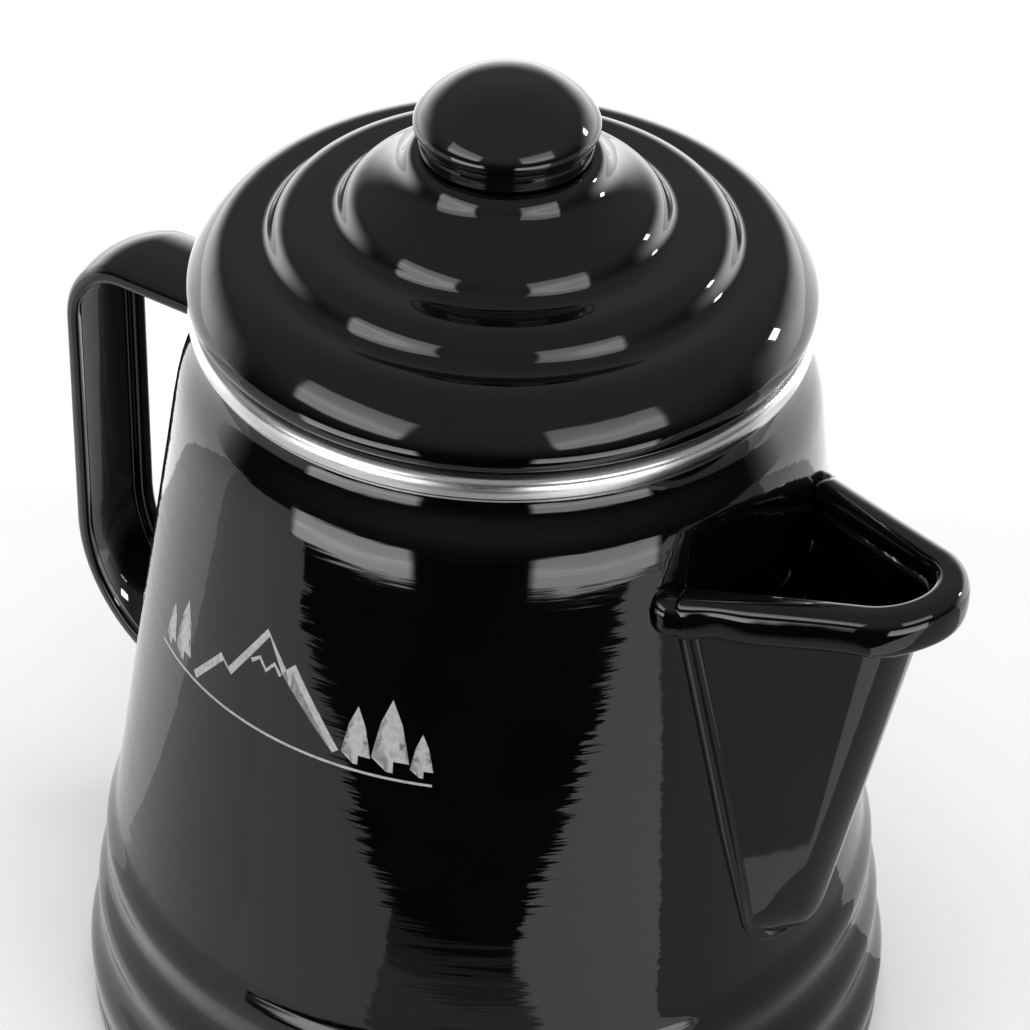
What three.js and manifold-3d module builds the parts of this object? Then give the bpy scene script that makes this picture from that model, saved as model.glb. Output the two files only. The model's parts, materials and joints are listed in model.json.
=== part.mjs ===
// Enamelled camping coffee percolator: pot, spout, handle, lid with knob, and the loose
// brewing insert (riser, basket, spreader). Millimetres, +Z up. The origin is on the pot's
// axis at the underside of its base, the spout points along +X and the handle along -X.

import * as THREE from "three";
import { mergeVertices } from "three/addons/utils/BufferGeometryUtils.js";
import Module from "manifold-3d";

const wasm = await Module();
wasm.setup();

// ---- Driving dimensions -------------------------------------------------------------

const GAP = 0.3; // clearance left between neighbouring pieces
const ENAMEL_SHEET = 1.2; // enamelled steel wall with its glaze
const STEEL_SHEET = 0.7; // bare stainless wall
const ROUND = 36; // sides of a large turned piece
const ROUND_MEDIUM = 28; // sides of the basket, its cover and the riser's bell
const ROUND_SMALL = 16; // sides of a small turned piece

const BASE_RADIUS = 82; // cone's radius where it would meet the ground
const CONE_TAPER = 0.15; // radius lost for each millimetre of height
const CONE_TOP = 136; // height at which the shoulder begins
const NECK_RADIUS = 55.2;
const SHOULDER = [[60.35, 144], [58.8, 150], [56.7, 154.4], [55.5, 157.2]]; // [radius, height]
const NECK_BOTTOM = 159;
const RIM_HEIGHT = 160; // lower edge of the steel rim bead
const RIM_RADIUS = 57.5;
const RIM_BEAD = 5; // height of the steel rim bead
const LIP_DEPTH = 1.7; // top of the wall under the top of the bead
const BASE_CORNER = 5; // rounding of the base dish's edge
const BASE_FLANGE = 5.5; // height of the flange that stands inside the wall
const RIB_COUNT = 3;
const RIB_PITCH = 14.5;
const RIB_RISE = 1.2;
const RIBS_START = 5.75; // seam between base dish and wall, and foot of the lowest rib

const SPOUT_CORNER = new THREE.Vector3(57, 23.8, 136); // centre of the rolled edge at the wall
const SPOUT_TIP = new THREE.Vector3(98.8, 0, 143.2); // centre of the rolled edge at the tip
const SPOUT_BOTTOM = 52;
const SPOUT_BEAD = 3.5; // radius of the rolled edge
const SPOUT_ROLL_OUT = 2.4; // rolled edge's centre, outside the sheet's outer face
const SPOUT_FOOT_WIDTH = 8; // half width at the wall, just above the rounded bottom
const SPOUT_FOOT_HEIGHT = 8; // height of the rounded bottom
const SPOUT_FOOT_PROUD = 0.6; // nose outside the wall's face at the bottom
const SPOUT_FOOT_FLOOR = 4; // metal left under the channel at the bottom
const SPOUT_NOSE_LOW = 6; // radius of the nose at the bottom
const SPOUT_NOSE_HIGH = 9.5; // radius of the nose at the tip

const STRAINER_HOLE = 3; // radius
const STRAINER_PITCH = 10;
const STRAINER_ROWS = 4; // the top row has as many holes, each lower row one less
const STRAINER_TOP = 130; // height of the top row
const STRAINER_DRILL = 8; // length of the drill that cuts a hole
const HOLE_SIDES = 6;

const STRAP_REACH = 104.3; // edges of the handle's outer face from the pot's axis
const STRAP_WIDTH = 20.5;
const STRAP_DEPTH = 3.4;
const STRAP_CROWN = 2.7; // how far the middle of the outer face stands over its edges
const STRAP_ROLL = 2.6; // width of a rolled edge
const STRAP_EASE = 1.1; // rounding of its corners
const STRAP_TOP = 141; // outer face where the upper arm meets the wall
const STRAP_CORNER_Z = 135.5; // outer face at the upper corner
const STRAP_UPPER_BEND = 17;
const STRAP_LOWER_BEND = 30;
const STRAP_BOTTOM = 39; // outer face of the lower arm
const STRAP_RUN_ON = 12; // how far both ends run on into the wall before they are trimmed
const FOOT_THICKNESS = 1.5;
const FOOT_MARGIN = 2.5; // foot's edge outside the strap's edge
const FOOT_HEIGHT = 17;
const UPPER_FOOT_DROP = 10; // foot's lower edge under the arm's outer face
const LOWER_FOOT_DROP = 5;

const LID_SEAT = RIM_HEIGHT + RIM_BEAD;
const COLLAR_RADIUS = 52.6;
const COLLAR_DEPTH = 10; // how far the collar reaches down into the mouth
const COLLAR_SHEET = 0.8;
const BOSS_HEIGHT = 31; // top of the lid's boss over its seat

const KNOB_BOTTOM = LID_SEAT + BOSS_HEIGHT + GAP;
const KNOB_BAND_RADIUS = 15.6;
const KNOB_LIP_RADIUS = 16.7;
const KNOB_HEIGHT = 14.7;
const KNOB_SIDES = 24;
const GASKET_RADIUS = 9.2;
const GASKET_THICKNESS = 1;
const KNOB_BORE_DEPTH = 9; // bore above the gasket, which holds the insert
const INSERT_RADIUS = 4;
const INSERT_HEIGHT = 8.5;
const SCREW_RADIUS = 2;
const SCREW_LENGTH = 11;
const SCREW_HEAD_RADIUS = 4.2;
const SCREW_HEAD_HEIGHT = 2.4;
const SCREW_HEAD_EASE = 0.8;
const SCREW_SLOT_WIDTH = 1;
const SCREW_SLOT_DEPTH = 1.1;
const WASHER_RADIUS = 6.5;
const WASHER_THICKNESS = 0.8;
const WASHER_TOP = LID_SEAT + BOSS_HEIGHT - ENAMEL_SHEET - GAP;

const RISER_RADIUS = 5;
const RISER_WALL = 1;
const RISER_BOTTOM = 14;
const RISER_TOP = 176;
const BELL_RADIUS = 36;
const BELL_BOTTOM = ENAMEL_SHEET + GAP;
const BELL_NECK_TOP = 24;
const GATE_COUNT = 4; // openings in the bell's lower edge
const GATE_SIZE = [12, 9, 3]; // through the edge, along it and up
const STOP_RADIUS = 9;
const STOP_HEIGHT = 3.5;
const SLEEVE_BORE = RISER_RADIUS + 0.4;
const SLEEVE_RADIUS = 6.2;
const SLEEVE_FLANGE = 10; // radius of the flange that carries the disc
const BASKET_BOTTOM = 84;
const BASKET_TOP = 141.1;
const BASKET_RADIUS = 45;
const BASKET_RIM = 1.5; // width of the rolled rim
const BASKET_HOLE = 1.5; // radius
const BASKET_ROWS = [[15, 6], [24, 9], [33, 12]]; // [circle radius, number of holes]
const COVER_TOP = 142;
const COVER_FLOOR = COVER_TOP - 3;
const COVER_SHEET = 0.6;
const COVER_HOLE = 1.3; // radius
const COVER_ROWS = [[14, 6], [23, 9], [32, 12]];
const CUT_MARGIN = 1; // how far a drill reaches past the metal

// ---- Materials ----------------------------------------------------------------------

function finish(color, roughness, metalness) {
  return new THREE.MeshStandardMaterial({ color, roughness, metalness });
}

const blackEnamel = finish(0x0a0a0b, 0.12, 0);
const blackPlastic = finish(0x0d0d0e, 0.1, 0);
const polishedSteel = finish(0xc9cbce, 0.18, 1);
const satinSteel = finish(0xb4b7bb, 0.32, 1);
const brass = finish(0xb08d45, 0.35, 1);
const rubber = finish(0x1a1a1a, 0.8, 0);

// ---- Solids -------------------------------------------------------------------------

// Signed volume of the triangles, to tell which way they face.
function signedVolume(position, index) {
  const corners = [new THREE.Vector3(), new THREE.Vector3(), new THREE.Vector3()];
  let volume = 0;
  for (let i = 0; i < index.length; i += 3) {
    corners.forEach((corner, k) => corner.fromBufferAttribute(position, index[i + k]));
    volume += corners[0].dot(corners[1].cross(corners[2])) / 6;
  }
  return volume;
}

// Solid of a closed geometry, with shared corners merged and its faces pointing out.
function solidOf(geometry) {
  const bare = geometry.clone();
  bare.deleteAttribute("normal");
  bare.deleteAttribute("uv");
  const merged = mergeVertices(bare);
  const position = merged.getAttribute("position");
  const index = merged.getIndex().array;
  const inward = signedVolume(position, index) < 0;
  const triangles = [];
  for (let i = 0; i < index.length; i += 3) {
    const [a, b, c] = index.subarray(i, i + 3);
    if (a === b || b === c || c === a) continue;
    triangles.push(...(inward ? [a, c, b] : [a, b, c]));
  }
  const vertProperties = new Float32Array(position.array);
  const triVerts = new Uint32Array(triangles);
  return new wasm.Manifold(new wasm.Mesh({ numProp: 3, vertProperties, triVerts }));
}

function geometryOf(solid) {
  const { vertProperties, triVerts } = solid.getMesh();
  const geometry = new THREE.BufferGeometry();
  geometry.setAttribute("position", new THREE.BufferAttribute(vertProperties, 3));
  geometry.setIndex(new THREE.BufferAttribute(triVerts, 1));
  return geometry;
}

// Solid turned about the pot's axis from [radius, height] points.
function turned(outline, sides = ROUND) {
  const points = outline.map(([radius, height]) => new THREE.Vector2(radius, height));
  return solidOf(new THREE.LatheGeometry(points, sides).rotateX(Math.PI / 2));
}

// Outline moved sideways: to the left of its direction of travel for a positive distance.
function offset(outline, distance) {
  return outline.map(([radius, height], i) => {
    const before = outline[Math.max(i - 1, 0)];
    const after = outline[Math.min(i + 1, outline.length - 1)];
    const along = new THREE.Vector2(after[0] - before[0], after[1] - before[1]).normalize();
    return [radius - along.y * distance, height + along.x * distance];
  });
}

// Closed outline of a sheet whose outer face is the given outline.
function sheet(outline, thickness) {
  return [...outline, ...offset(outline, thickness).reverse(), outline[0]];
}

// Closed outline of a plain ring or tube.
function ring(inner, outer, bottom, top) {
  return [[inner, bottom], [outer, bottom], [outer, top], [inner, top], [inner, bottom]];
}

function box(low, high) {
  const size = [0, 1, 2].map((k) => high[k] - low[k]);
  const middle = [0, 1, 2].map((k) => (high[k] + low[k]) / 2);
  return solidOf(new THREE.BoxGeometry(...size).translate(...middle));
}

// Solid through a stack of rings with equal numbers of points, each ring convex.
function lofted(rings) {
  const count = rings[0].length;
  const index = [];
  for (let level = 1; level < rings.length; level += 1) {
    for (let i = 0; i < count; i += 1) {
      const next = (i + 1) % count;
      const low = (level - 1) * count;
      const high = level * count;
      index.push(low + i, low + next, high + next, low + i, high + next, high + i);
    }
  }
  const last = (rings.length - 1) * count;
  for (let i = 2; i < count; i += 1) {
    index.push(0, i, i - 1, last, last + i - 1, last + i);
  }
  const geometry = new THREE.BufferGeometry().setFromPoints(rings.flat());
  return solidOf(geometry.setIndex(index));
}

// Upright drill at a place on a flat perforated disc.
function drill(radius, x, y, bottom, top) {
  const length = top - bottom;
  const geometry = new THREE.CylinderGeometry(radius, radius, length, HOLE_SIDES);
  return solidOf(geometry.rotateX(Math.PI / 2).translate(x, y, bottom + length / 2));
}

// Holes spaced evenly on circles: rows of [circle radius, number of holes].
function perforated(solid, rows, radius, bottom, top) {
  let result = solid;
  for (const [circle, count] of rows) {
    for (let i = 0; i < count; i += 1) {
      const angle = (2 * Math.PI * (i + 0.5)) / count;
      const place = [circle * Math.cos(angle), circle * Math.sin(angle)];
      result = result.subtract(drill(radius, ...place, bottom, top));
    }
  }
  return result;
}

const percolator = new THREE.Group();

function addPiece(name, solid, material) {
  const piece = new THREE.Mesh(geometryOf(solid), material);
  piece.name = name;
  percolator.add(piece);
}

// ---- Pot ----------------------------------------------------------------------------

function ribRise(height) {
  const along = (height - RIBS_START) / RIB_PITCH;
  return along > 0 && along < RIB_COUNT ? RIB_RISE * Math.sin(Math.PI * along) ** 2 : 0;
}

function wallRadius(height) {
  return BASE_RADIUS - CONE_TAPER * height + ribRise(height);
}

// Outer face of the wall, from the seam above the base to the lip held by the rim.
function wallOutline() {
  const stepsPerRib = 4;
  const outline = [];
  for (let i = 0; i <= RIB_COUNT * stepsPerRib; i += 1) {
    const height = RIBS_START + (i * RIB_PITCH) / stepsPerRib;
    outline.push([wallRadius(height), height]);
  }
  outline.push([wallRadius(CONE_TOP), CONE_TOP], ...SHOULDER);
  outline.push([NECK_RADIUS, NECK_BOTTOM], [NECK_RADIUS, LID_SEAT - LIP_DEPTH]);
  return outline;
}

// Everything inside the wall's outer face moved out by a clearance: it trims what is
// welded on to the wall.
function wallEnvelope(clearance) {
  const outer = wallOutline().map(([radius, height]) => [radius + clearance, height]);
  const [lowest] = outer;
  const highest = outer[outer.length - 1];
  return turned([[0, lowest[1]], ...outer, [0, highest[1]]]);
}

function strainerDrill(row, place) {
  const height = STRAINER_TOP - row * STRAINER_PITCH * Math.sin(Math.PI / 3);
  const radius = wallRadius(height);
  const across = (place - (STRAINER_ROWS - 1 - row) / 2) * STRAINER_PITCH;
  const size = [STRAINER_HOLE, STRAINER_HOLE, STRAINER_DRILL, HOLE_SIDES];
  const cylinder = new THREE.CylinderGeometry(...size);
  cylinder.rotateZ(Math.PI / 2).translate(radius, 0, height).rotateZ(across / radius);
  return solidOf(cylinder);
}

function makePotBody() {
  let body = turned(sheet(wallOutline(), ENAMEL_SHEET));
  for (let row = 0; row < STRAINER_ROWS; row += 1) {
    for (let place = 0; place < STRAINER_ROWS - row; place += 1) {
      body = body.subtract(strainerDrill(row, place));
    }
  }
  return body;
}

// Flat-bottomed dish whose flange stands inside the wall and whose round corner shows.
function makePotBase() {
  const seam = RIBS_START - GAP;
  const edge = wallRadius(RIBS_START);
  const flange = edge - ENAMEL_SHEET - GAP;
  const inside = flange - ENAMEL_SHEET;
  const centre = [edge - BASE_CORNER, BASE_CORNER];
  const arc = new THREE.Path().absarc(...centre, BASE_CORNER, -Math.PI / 2, 0);
  return turned([
    [0, 0],
    ...arc.getPoints(3).map((point) => point.toArray()),
    [edge, seam],
    [flange, seam],
    [flange, seam + BASE_FLANGE],
    [inside, seam + BASE_FLANGE],
    [inside, BASE_CORNER],
    [edge - BASE_CORNER, ENAMEL_SHEET],
    [0, ENAMEL_SHEET],
  ]);
}

// Steel ring crimped over the lip: a round bead outside and a leg down inside the mouth.
function makeMouthRim() {
  const slotOuter = NECK_RADIUS + GAP;
  const slotInner = NECK_RADIUS - ENAMEL_SHEET - GAP;
  const legFace = slotInner - 0.5;
  const legBottom = RIM_HEIGHT - 3;
  const hem = RIM_HEIGHT - 0.8;
  const slotTop = LID_SEAT - LIP_DEPTH + GAP;
  return turned([
    [slotOuter, hem],
    [slotOuter + 0.6, RIM_HEIGHT - 0.6],
    [RIM_RADIUS - 0.5, RIM_HEIGHT + 0.8],
    [RIM_RADIUS, RIM_HEIGHT + 2.3],
    [RIM_RADIUS - 0.6, RIM_HEIGHT + 4],
    [RIM_RADIUS - 2, LID_SEAT],
    [legFace + 0.9, LID_SEAT - 0.2],
    [legFace, RIM_HEIGHT + 3.4],
    [legFace, legBottom],
    [slotInner, legBottom],
    [slotInner, slotTop],
    [slotOuter, slotTop],
    [slotOuter, hem],
  ]);
}

// ---- Spout --------------------------------------------------------------------------

// Height of the spout's upper edge at a distance from the pot's axis.
function spoutEdgeHeight(x) {
  const slope = (SPOUT_TIP.z - SPOUT_CORNER.z) / (SPOUT_TIP.x - SPOUT_CORNER.x);
  return SPOUT_CORNER.z + slope * (x - SPOUT_CORNER.x);
}

// Nose's centre and radius, and the wall root of one flat side, at a height.
function spoutPlan(height) {
  const { lerp } = THREE.MathUtils;
  const up = (height - SPOUT_BOTTOM) / (SPOUT_TIP.z - SPOUT_BOTTOM);
  const nearFoot = Math.min((height - SPOUT_BOTTOM) / SPOUT_FOOT_HEIGHT, 1);
  const roundness = Math.sqrt(1 - (1 - nearFoot) ** 2);
  const halfWidth = roundness * lerp(SPOUT_FOOT_WIDTH, SPOUT_CORNER.y - SPOUT_ROLL_OUT, up);
  const radius = roundness * lerp(SPOUT_NOSE_LOW, SPOUT_NOSE_HIGH, up);
  const footX = wallRadius(SPOUT_BOTTOM) + SPOUT_FOOT_PROUD;
  const noseX = lerp(footX, SPOUT_TIP.x - SPOUT_ROLL_OUT, up);
  const centre = new THREE.Vector2(noseX - radius, 0);
  const rootX = Math.sqrt(wallRadius(height) ** 2 - halfWidth ** 2);
  return { centre, radius, root: new THREE.Vector2(rootX, halfWidth) };
}

// Outline of the folded sheet at a height, from wall to wall round the nose. The sheet's
// flat sides touch the nose's circle; inset moves the outline towards the spout's inside.
function spoutSection(height, inset) {
  const insideWall = 6;
  const arcSteps = 4;
  const { centre, radius, root } = spoutPlan(height);
  const reach = root.clone().sub(centre);
  const tangentAngle = reach.angle() - Math.acos(radius / reach.length());
  const half = [];
  for (let i = 0; i <= arcSteps; i += 1) {
    const angle = (tangentAngle * i) / arcSteps;
    const arm = new THREE.Vector2(Math.cos(angle), Math.sin(angle));
    half.push(arm.multiplyScalar(radius - inset).add(centre));
  }
  const touch = half[arcSteps];
  const inwards = new THREE.Vector2(Math.cos(tangentAngle), Math.sin(tangentAngle)).multiplyScalar(-inset);
  const end = root.clone().add(inwards);
  end.add(end.clone().sub(touch).normalize().multiplyScalar(insideWall));
  half.push(end);
  const other = half.slice(1).map((point) => new THREE.Vector2(point.x, -point.y));
  return [...other.reverse(), ...half];
}

// Solid inside the folded outline, with its rounded bottom, from a height to above the edge.
function spoutSolid(inset, bottom) {
  const footShares = [0.09, 0.2, 0.4, 0.675, 1];
  const above = 6;
  const foot = footShares.map((share) => SPOUT_BOTTOM + share * SPOUT_FOOT_HEIGHT);
  const levels = [bottom, ...foot.filter((height) => height > bottom), SPOUT_TIP.z + above];
  return lofted(levels.map((height) => spoutSection(height, inset)
    .map((point) => new THREE.Vector3(point.x, point.y, height))));
}

// Rolled edge along the top of the folded sheet.
function spoutBead() {
  const section = spoutSection((SPOUT_CORNER.z + SPOUT_TIP.z) / 2, -SPOUT_ROLL_OUT);
  const route = section.map(({ x, y }) => new THREE.Vector3(x, y, spoutEdgeHeight(x)));
  const path = new THREE.CatmullRomCurve3(route);
  const shape = new THREE.Shape().absarc(0, 0, SPOUT_BEAD, 0, 2 * Math.PI);
  const options = { steps: 28, curveSegments: 4, bevelEnabled: false, extrudePath: path };
  return solidOf(new THREE.ExtrudeGeometry(shape, options));
}

function makeSpout() {
  const far = 200;
  const tilt = Math.atan2(SPOUT_TIP.z - SPOUT_CORNER.z, SPOUT_TIP.x - SPOUT_CORNER.x);
  const above = new THREE.BoxGeometry(far, far, far).translate(0, 0, far / 2);
  above.rotateY(-tilt).translate(SPOUT_CORNER.x, 0, SPOUT_CORNER.z);
  const lowest = 0.2; // the outline has no width at the very bottom
  const outer = spoutSolid(0, SPOUT_BOTTOM + lowest);
  const inner = spoutSolid(ENAMEL_SHEET, SPOUT_BOTTOM + SPOUT_FOOT_FLOOR);
  const bead = spoutBead().subtract(inner);
  const folded = outer.subtract(inner).subtract(solidOf(above));
  return folded.add(bead).subtract(wallEnvelope(GAP));
}

// ---- Handle -------------------------------------------------------------------------

// Edges of the strap's outer face: upper arm, upright and lower arm with round bends.
function strapPath() {
  const at = (distance, height) => new THREE.Vector3(-distance, 0, height);
  const slope = (STRAP_TOP - STRAP_CORNER_Z) / (STRAP_REACH - NECK_RADIUS);
  const armHeight = (distance) => STRAP_CORNER_Z + slope * (STRAP_REACH - distance);
  const path = new THREE.CurvePath();
  const start = NECK_RADIUS - STRAP_RUN_ON;
  const bendStart = STRAP_REACH - STRAP_UPPER_BEND;
  const corner = at(STRAP_REACH, armHeight(STRAP_REACH));
  const uprightTop = at(STRAP_REACH, corner.z - STRAP_UPPER_BEND);
  const uprightBottom = at(STRAP_REACH, STRAP_BOTTOM + STRAP_LOWER_BEND);
  const lowerEnd = STRAP_REACH - STRAP_LOWER_BEND;
  const lowerBendEnd = at(lowerEnd, STRAP_BOTTOM);
  const upperEnd = at(bendStart, armHeight(bendStart));
  path.add(new THREE.LineCurve3(at(start, armHeight(start)), upperEnd));
  path.add(bend(upperEnd, corner, uprightTop));
  path.add(new THREE.LineCurve3(uprightTop, uprightBottom));
  path.add(bend(uprightBottom, at(STRAP_REACH, STRAP_BOTTOM), lowerBendEnd));
  path.add(new THREE.LineCurve3(lowerBendEnd, at(lowerEnd - STRAP_RUN_ON, STRAP_BOTTOM)));
  return path;
}

// Nearly circular bend from one point to another round a corner.
function bend(from, corner, to) {
  const pull = 0.552; // share of the way to the corner that makes a cubic curve circular
  const first = from.clone().lerp(corner, pull);
  const second = to.clone().lerp(corner, pull);
  return new THREE.CubicBezierCurve3(from, first, second, to);
}

// Channel section: the outer face's edges lie on the path, its middle stands proud, and
// both edges are rolled inwards.
function makeHandleStrap() {
  const half = STRAP_WIDTH / 2;
  const edge = [
    [half - STRAP_EASE, 0],
    [half, STRAP_EASE],
    [half, STRAP_DEPTH - STRAP_EASE],
    [half - STRAP_EASE, STRAP_DEPTH],
    [half - STRAP_ROLL, STRAP_DEPTH],
    [half - STRAP_ROLL, ENAMEL_SHEET],
  ];
  const crown = [[0, -STRAP_CROWN], [half / 2, -STRAP_CROWN * 0.75]];
  const under = crown.map(([across, depth]) => [across, depth + ENAMEL_SHEET]).reverse();
  const right = [...crown, ...edge, ...under];
  const left = right.slice(1, -1).map(([across, depth]) => [-across, depth]).reverse();
  const points = [...right, ...left].map(([across, depth]) => new THREE.Vector2(across, -depth));
  const options = { steps: 30, bevelEnabled: false, extrudePath: strapPath() };
  const strap = solidOf(new THREE.ExtrudeGeometry(new THREE.Shape(points), options));
  return strap.subtract(wallEnvelope(FOOT_THICKNESS + 2 * GAP));
}

// Curved pad between the wall and one end of the strap.
function handleFoot(bottom) {
  const halfWidth = STRAP_WIDTH / 2 + FOOT_MARGIN;
  const pad = wallEnvelope(GAP + FOOT_THICKNESS).subtract(wallEnvelope(GAP));
  return pad.intersect(box([-BASE_RADIUS, -halfWidth, bottom], [0, halfWidth, bottom + FOOT_HEIGHT]));
}

// ---- Lid ----------------------------------------------------------------------------

// Outer face from the rolled edge over two stepped rings and the dome to the knob's boss,
// as [radius, height above the seat].
const LID_OUTLINE = [
  [55.6, 0.45],
  [57.6, 2.8],
  [56.6, 5.8],
  [53.2, 8.6],
  [48.6, 10.6],
  [43.2, 11.3],
  [38.4, 15.8],
  [35.2, 17.4],
  [31.4, 18.1],
  [28, 20.6],
  [24.5, 23.7],
  [19.6, 27.1],
  [17.6, 30.2],
  [15, BOSS_HEIGHT],
  [SCREW_RADIUS + 0.6, BOSS_HEIGHT],
];

function makeLidShell() {
  const outline = LID_OUTLINE.map(([radius, height]) => [radius, LID_SEAT + height]);
  return turned(sheet(outline, ENAMEL_SHEET));
}

// Ring that hangs into the mouth, with a flange under the lid's outer ring.
function makeLidCollar() {
  const outline = [
    [COLLAR_RADIUS, LID_SEAT - COLLAR_DEPTH],
    [COLLAR_RADIUS, LID_SEAT + 5.2],
    [49.6, LID_SEAT + 8.3],
    [45.4, LID_SEAT + 8.9],
  ];
  return turned(sheet(outline, COLLAR_SHEET));
}

// Domed knob with a lip over a plain band, open underneath for its gasket and insert.
function makeLidKnob() {
  const recess = KNOB_BOTTOM + GASKET_THICKNESS + GAP;
  return turned([
    [GASKET_RADIUS + GAP, KNOB_BOTTOM],
    [KNOB_BAND_RADIUS - 0.6, KNOB_BOTTOM],
    [KNOB_BAND_RADIUS, KNOB_BOTTOM + 0.6],
    [KNOB_BAND_RADIUS, KNOB_BOTTOM + 3.6],
    [KNOB_LIP_RADIUS - 0.1, KNOB_BOTTOM + 4.3],
    [KNOB_LIP_RADIUS, KNOB_BOTTOM + 5.3],
    [KNOB_LIP_RADIUS - 0.6, KNOB_BOTTOM + 7],
    [14, KNOB_BOTTOM + 9.7],
    [10, KNOB_BOTTOM + 12.4],
    [5, KNOB_BOTTOM + 14],
    [0, KNOB_BOTTOM + KNOB_HEIGHT],
    [0, recess + KNOB_BORE_DEPTH],
    [INSERT_RADIUS + GAP, recess + KNOB_BORE_DEPTH],
    [INSERT_RADIUS + GAP, recess],
    [GASKET_RADIUS + GAP, recess],
    [GASKET_RADIUS + GAP, KNOB_BOTTOM],
  ], KNOB_SIDES);
}

function makeKnobGasket() {
  const outline = ring(SCREW_RADIUS + GAP, GASKET_RADIUS, KNOB_BOTTOM, KNOB_BOTTOM + GASKET_THICKNESS);
  return turned(outline, ROUND_SMALL);
}

function makeKnobInsert() {
  const bottom = KNOB_BOTTOM + GASKET_THICKNESS + GAP;
  const outline = ring(SCREW_RADIUS + GAP, INSERT_RADIUS, bottom, bottom + INSERT_HEIGHT);
  return turned(outline, ROUND_SMALL);
}

function makeScrewWasher() {
  const bottom = WASHER_TOP - WASHER_THICKNESS;
  return turned(ring(SCREW_RADIUS + GAP, WASHER_RADIUS, bottom, WASHER_TOP), ROUND_SMALL);
}

// Pan-head screw pointing up, with a driver slot across its head.
function makeKnobScrew() {
  const headTop = WASHER_TOP - WASHER_THICKNESS - GAP;
  const headBottom = headTop - SCREW_HEAD_HEIGHT;
  const screw = turned([
    [0, headBottom],
    [SCREW_HEAD_RADIUS - SCREW_HEAD_EASE, headBottom],
    [SCREW_HEAD_RADIUS, headBottom + SCREW_HEAD_EASE],
    [SCREW_HEAD_RADIUS, headTop],
    [SCREW_RADIUS, headTop],
    [SCREW_RADIUS, headTop + SCREW_LENGTH],
    [0, headTop + SCREW_LENGTH],
  ], ROUND_SMALL);
  const slotHalf = SCREW_SLOT_WIDTH / 2;
  const slot = box(
    [-SCREW_HEAD_RADIUS, -slotHalf, headBottom - CUT_MARGIN],
    [SCREW_HEAD_RADIUS, slotHalf, headBottom + SCREW_SLOT_DEPTH],
  );
  return screw.subtract(slot);
}

// ---- Riser --------------------------------------------------------------------------

function makeRiserTube() {
  return turned(ring(RISER_RADIUS - RISER_WALL, RISER_RADIUS, RISER_BOTTOM, RISER_TOP), ROUND_SMALL);
}

// Flared foot with low gates, through which the water runs in.
function makeRiserBell() {
  const neck = RISER_RADIUS + GAP + STEEL_SHEET;
  const outline = [
    [BELL_RADIUS, BELL_BOTTOM],
    [BELL_RADIUS, BELL_BOTTOM + 1],
    [BELL_RADIUS - 2, BELL_BOTTOM + 3],
    [12, 13],
    [neck + 1, 16.5],
    [neck, 19],
    [neck, BELL_NECK_TOP],
  ];
  let bell = turned(sheet(outline, STEEL_SHEET), ROUND_MEDIUM);
  for (let i = 0; i < GATE_COUNT; i += 1) {
    const gate = new THREE.BoxGeometry(...GATE_SIZE).translate(BELL_RADIUS, 0, BELL_BOTTOM);
    bell = bell.subtract(solidOf(gate.rotateZ((2 * Math.PI * (i + 0.5)) / GATE_COUNT)));
  }
  return bell;
}

function makeBasketStop() {
  const top = BASKET_BOTTOM - GAP;
  return turned(ring(RISER_RADIUS + GAP, STOP_RADIUS, top - STOP_HEIGHT, top), ROUND_SMALL);
}

// ---- Basket and spreader ------------------------------------------------------------

function makeBasketCup() {
  const outline = [
    [SLEEVE_RADIUS + GAP, BASKET_BOTTOM],
    [BASKET_RADIUS - 5, BASKET_BOTTOM],
    [BASKET_RADIUS - 2.5, BASKET_BOTTOM + 1.5],
    [BASKET_RADIUS - 1.5, BASKET_BOTTOM + 4],
    [BASKET_RADIUS, BASKET_TOP - 2],
    [BASKET_RADIUS + BASKET_RIM, BASKET_TOP - 0.8],
    [BASKET_RADIUS + BASKET_RIM, BASKET_TOP],
  ];
  const cup = turned(sheet(outline, STEEL_SHEET), ROUND_MEDIUM);
  const drillTop = BASKET_BOTTOM + STEEL_SHEET + CUT_MARGIN;
  return perforated(cup, BASKET_ROWS, BASKET_HOLE, BASKET_BOTTOM - CUT_MARGIN, drillTop);
}

// Tube with a flange, seated in a disc that slides over the riser.
function flangedSleeve(bottom, flange, top) {
  return turned([
    [SLEEVE_BORE, bottom],
    [SLEEVE_RADIUS, bottom],
    [SLEEVE_RADIUS, flange],
    [SLEEVE_FLANGE, flange],
    [SLEEVE_FLANGE, flange + STEEL_SHEET],
    [SLEEVE_RADIUS, flange + STEEL_SHEET],
    [SLEEVE_RADIUS, top],
    [SLEEVE_BORE, top],
    [SLEEVE_BORE, bottom],
  ], ROUND_SMALL);
}

function makeBasketSleeve() {
  const topUnderCover = 4;
  const flange = BASKET_BOTTOM + STEEL_SHEET + GAP;
  return flangedSleeve(BASKET_BOTTOM + GAP, flange, COVER_FLOOR - topUnderCover);
}

// Dished plate whose edge rests on the basket and whose holes spread the water.
function makeCoverPlate() {
  const outline = [
    [BASKET_RADIUS + BASKET_RIM, COVER_TOP],
    [BASKET_RADIUS - 1.8, COVER_TOP],
    [BASKET_RADIUS - 2.8, COVER_TOP - 1],
    [BASKET_RADIUS - 3.4, COVER_FLOOR],
    [SLEEVE_RADIUS + GAP, COVER_FLOOR],
  ];
  const plate = turned(sheet(outline, COVER_SHEET), ROUND_MEDIUM);
  const drillBottom = COVER_FLOOR - COVER_SHEET - CUT_MARGIN;
  return perforated(plate, COVER_ROWS, COVER_HOLE, drillBottom, COVER_FLOOR + CUT_MARGIN);
}

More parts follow.
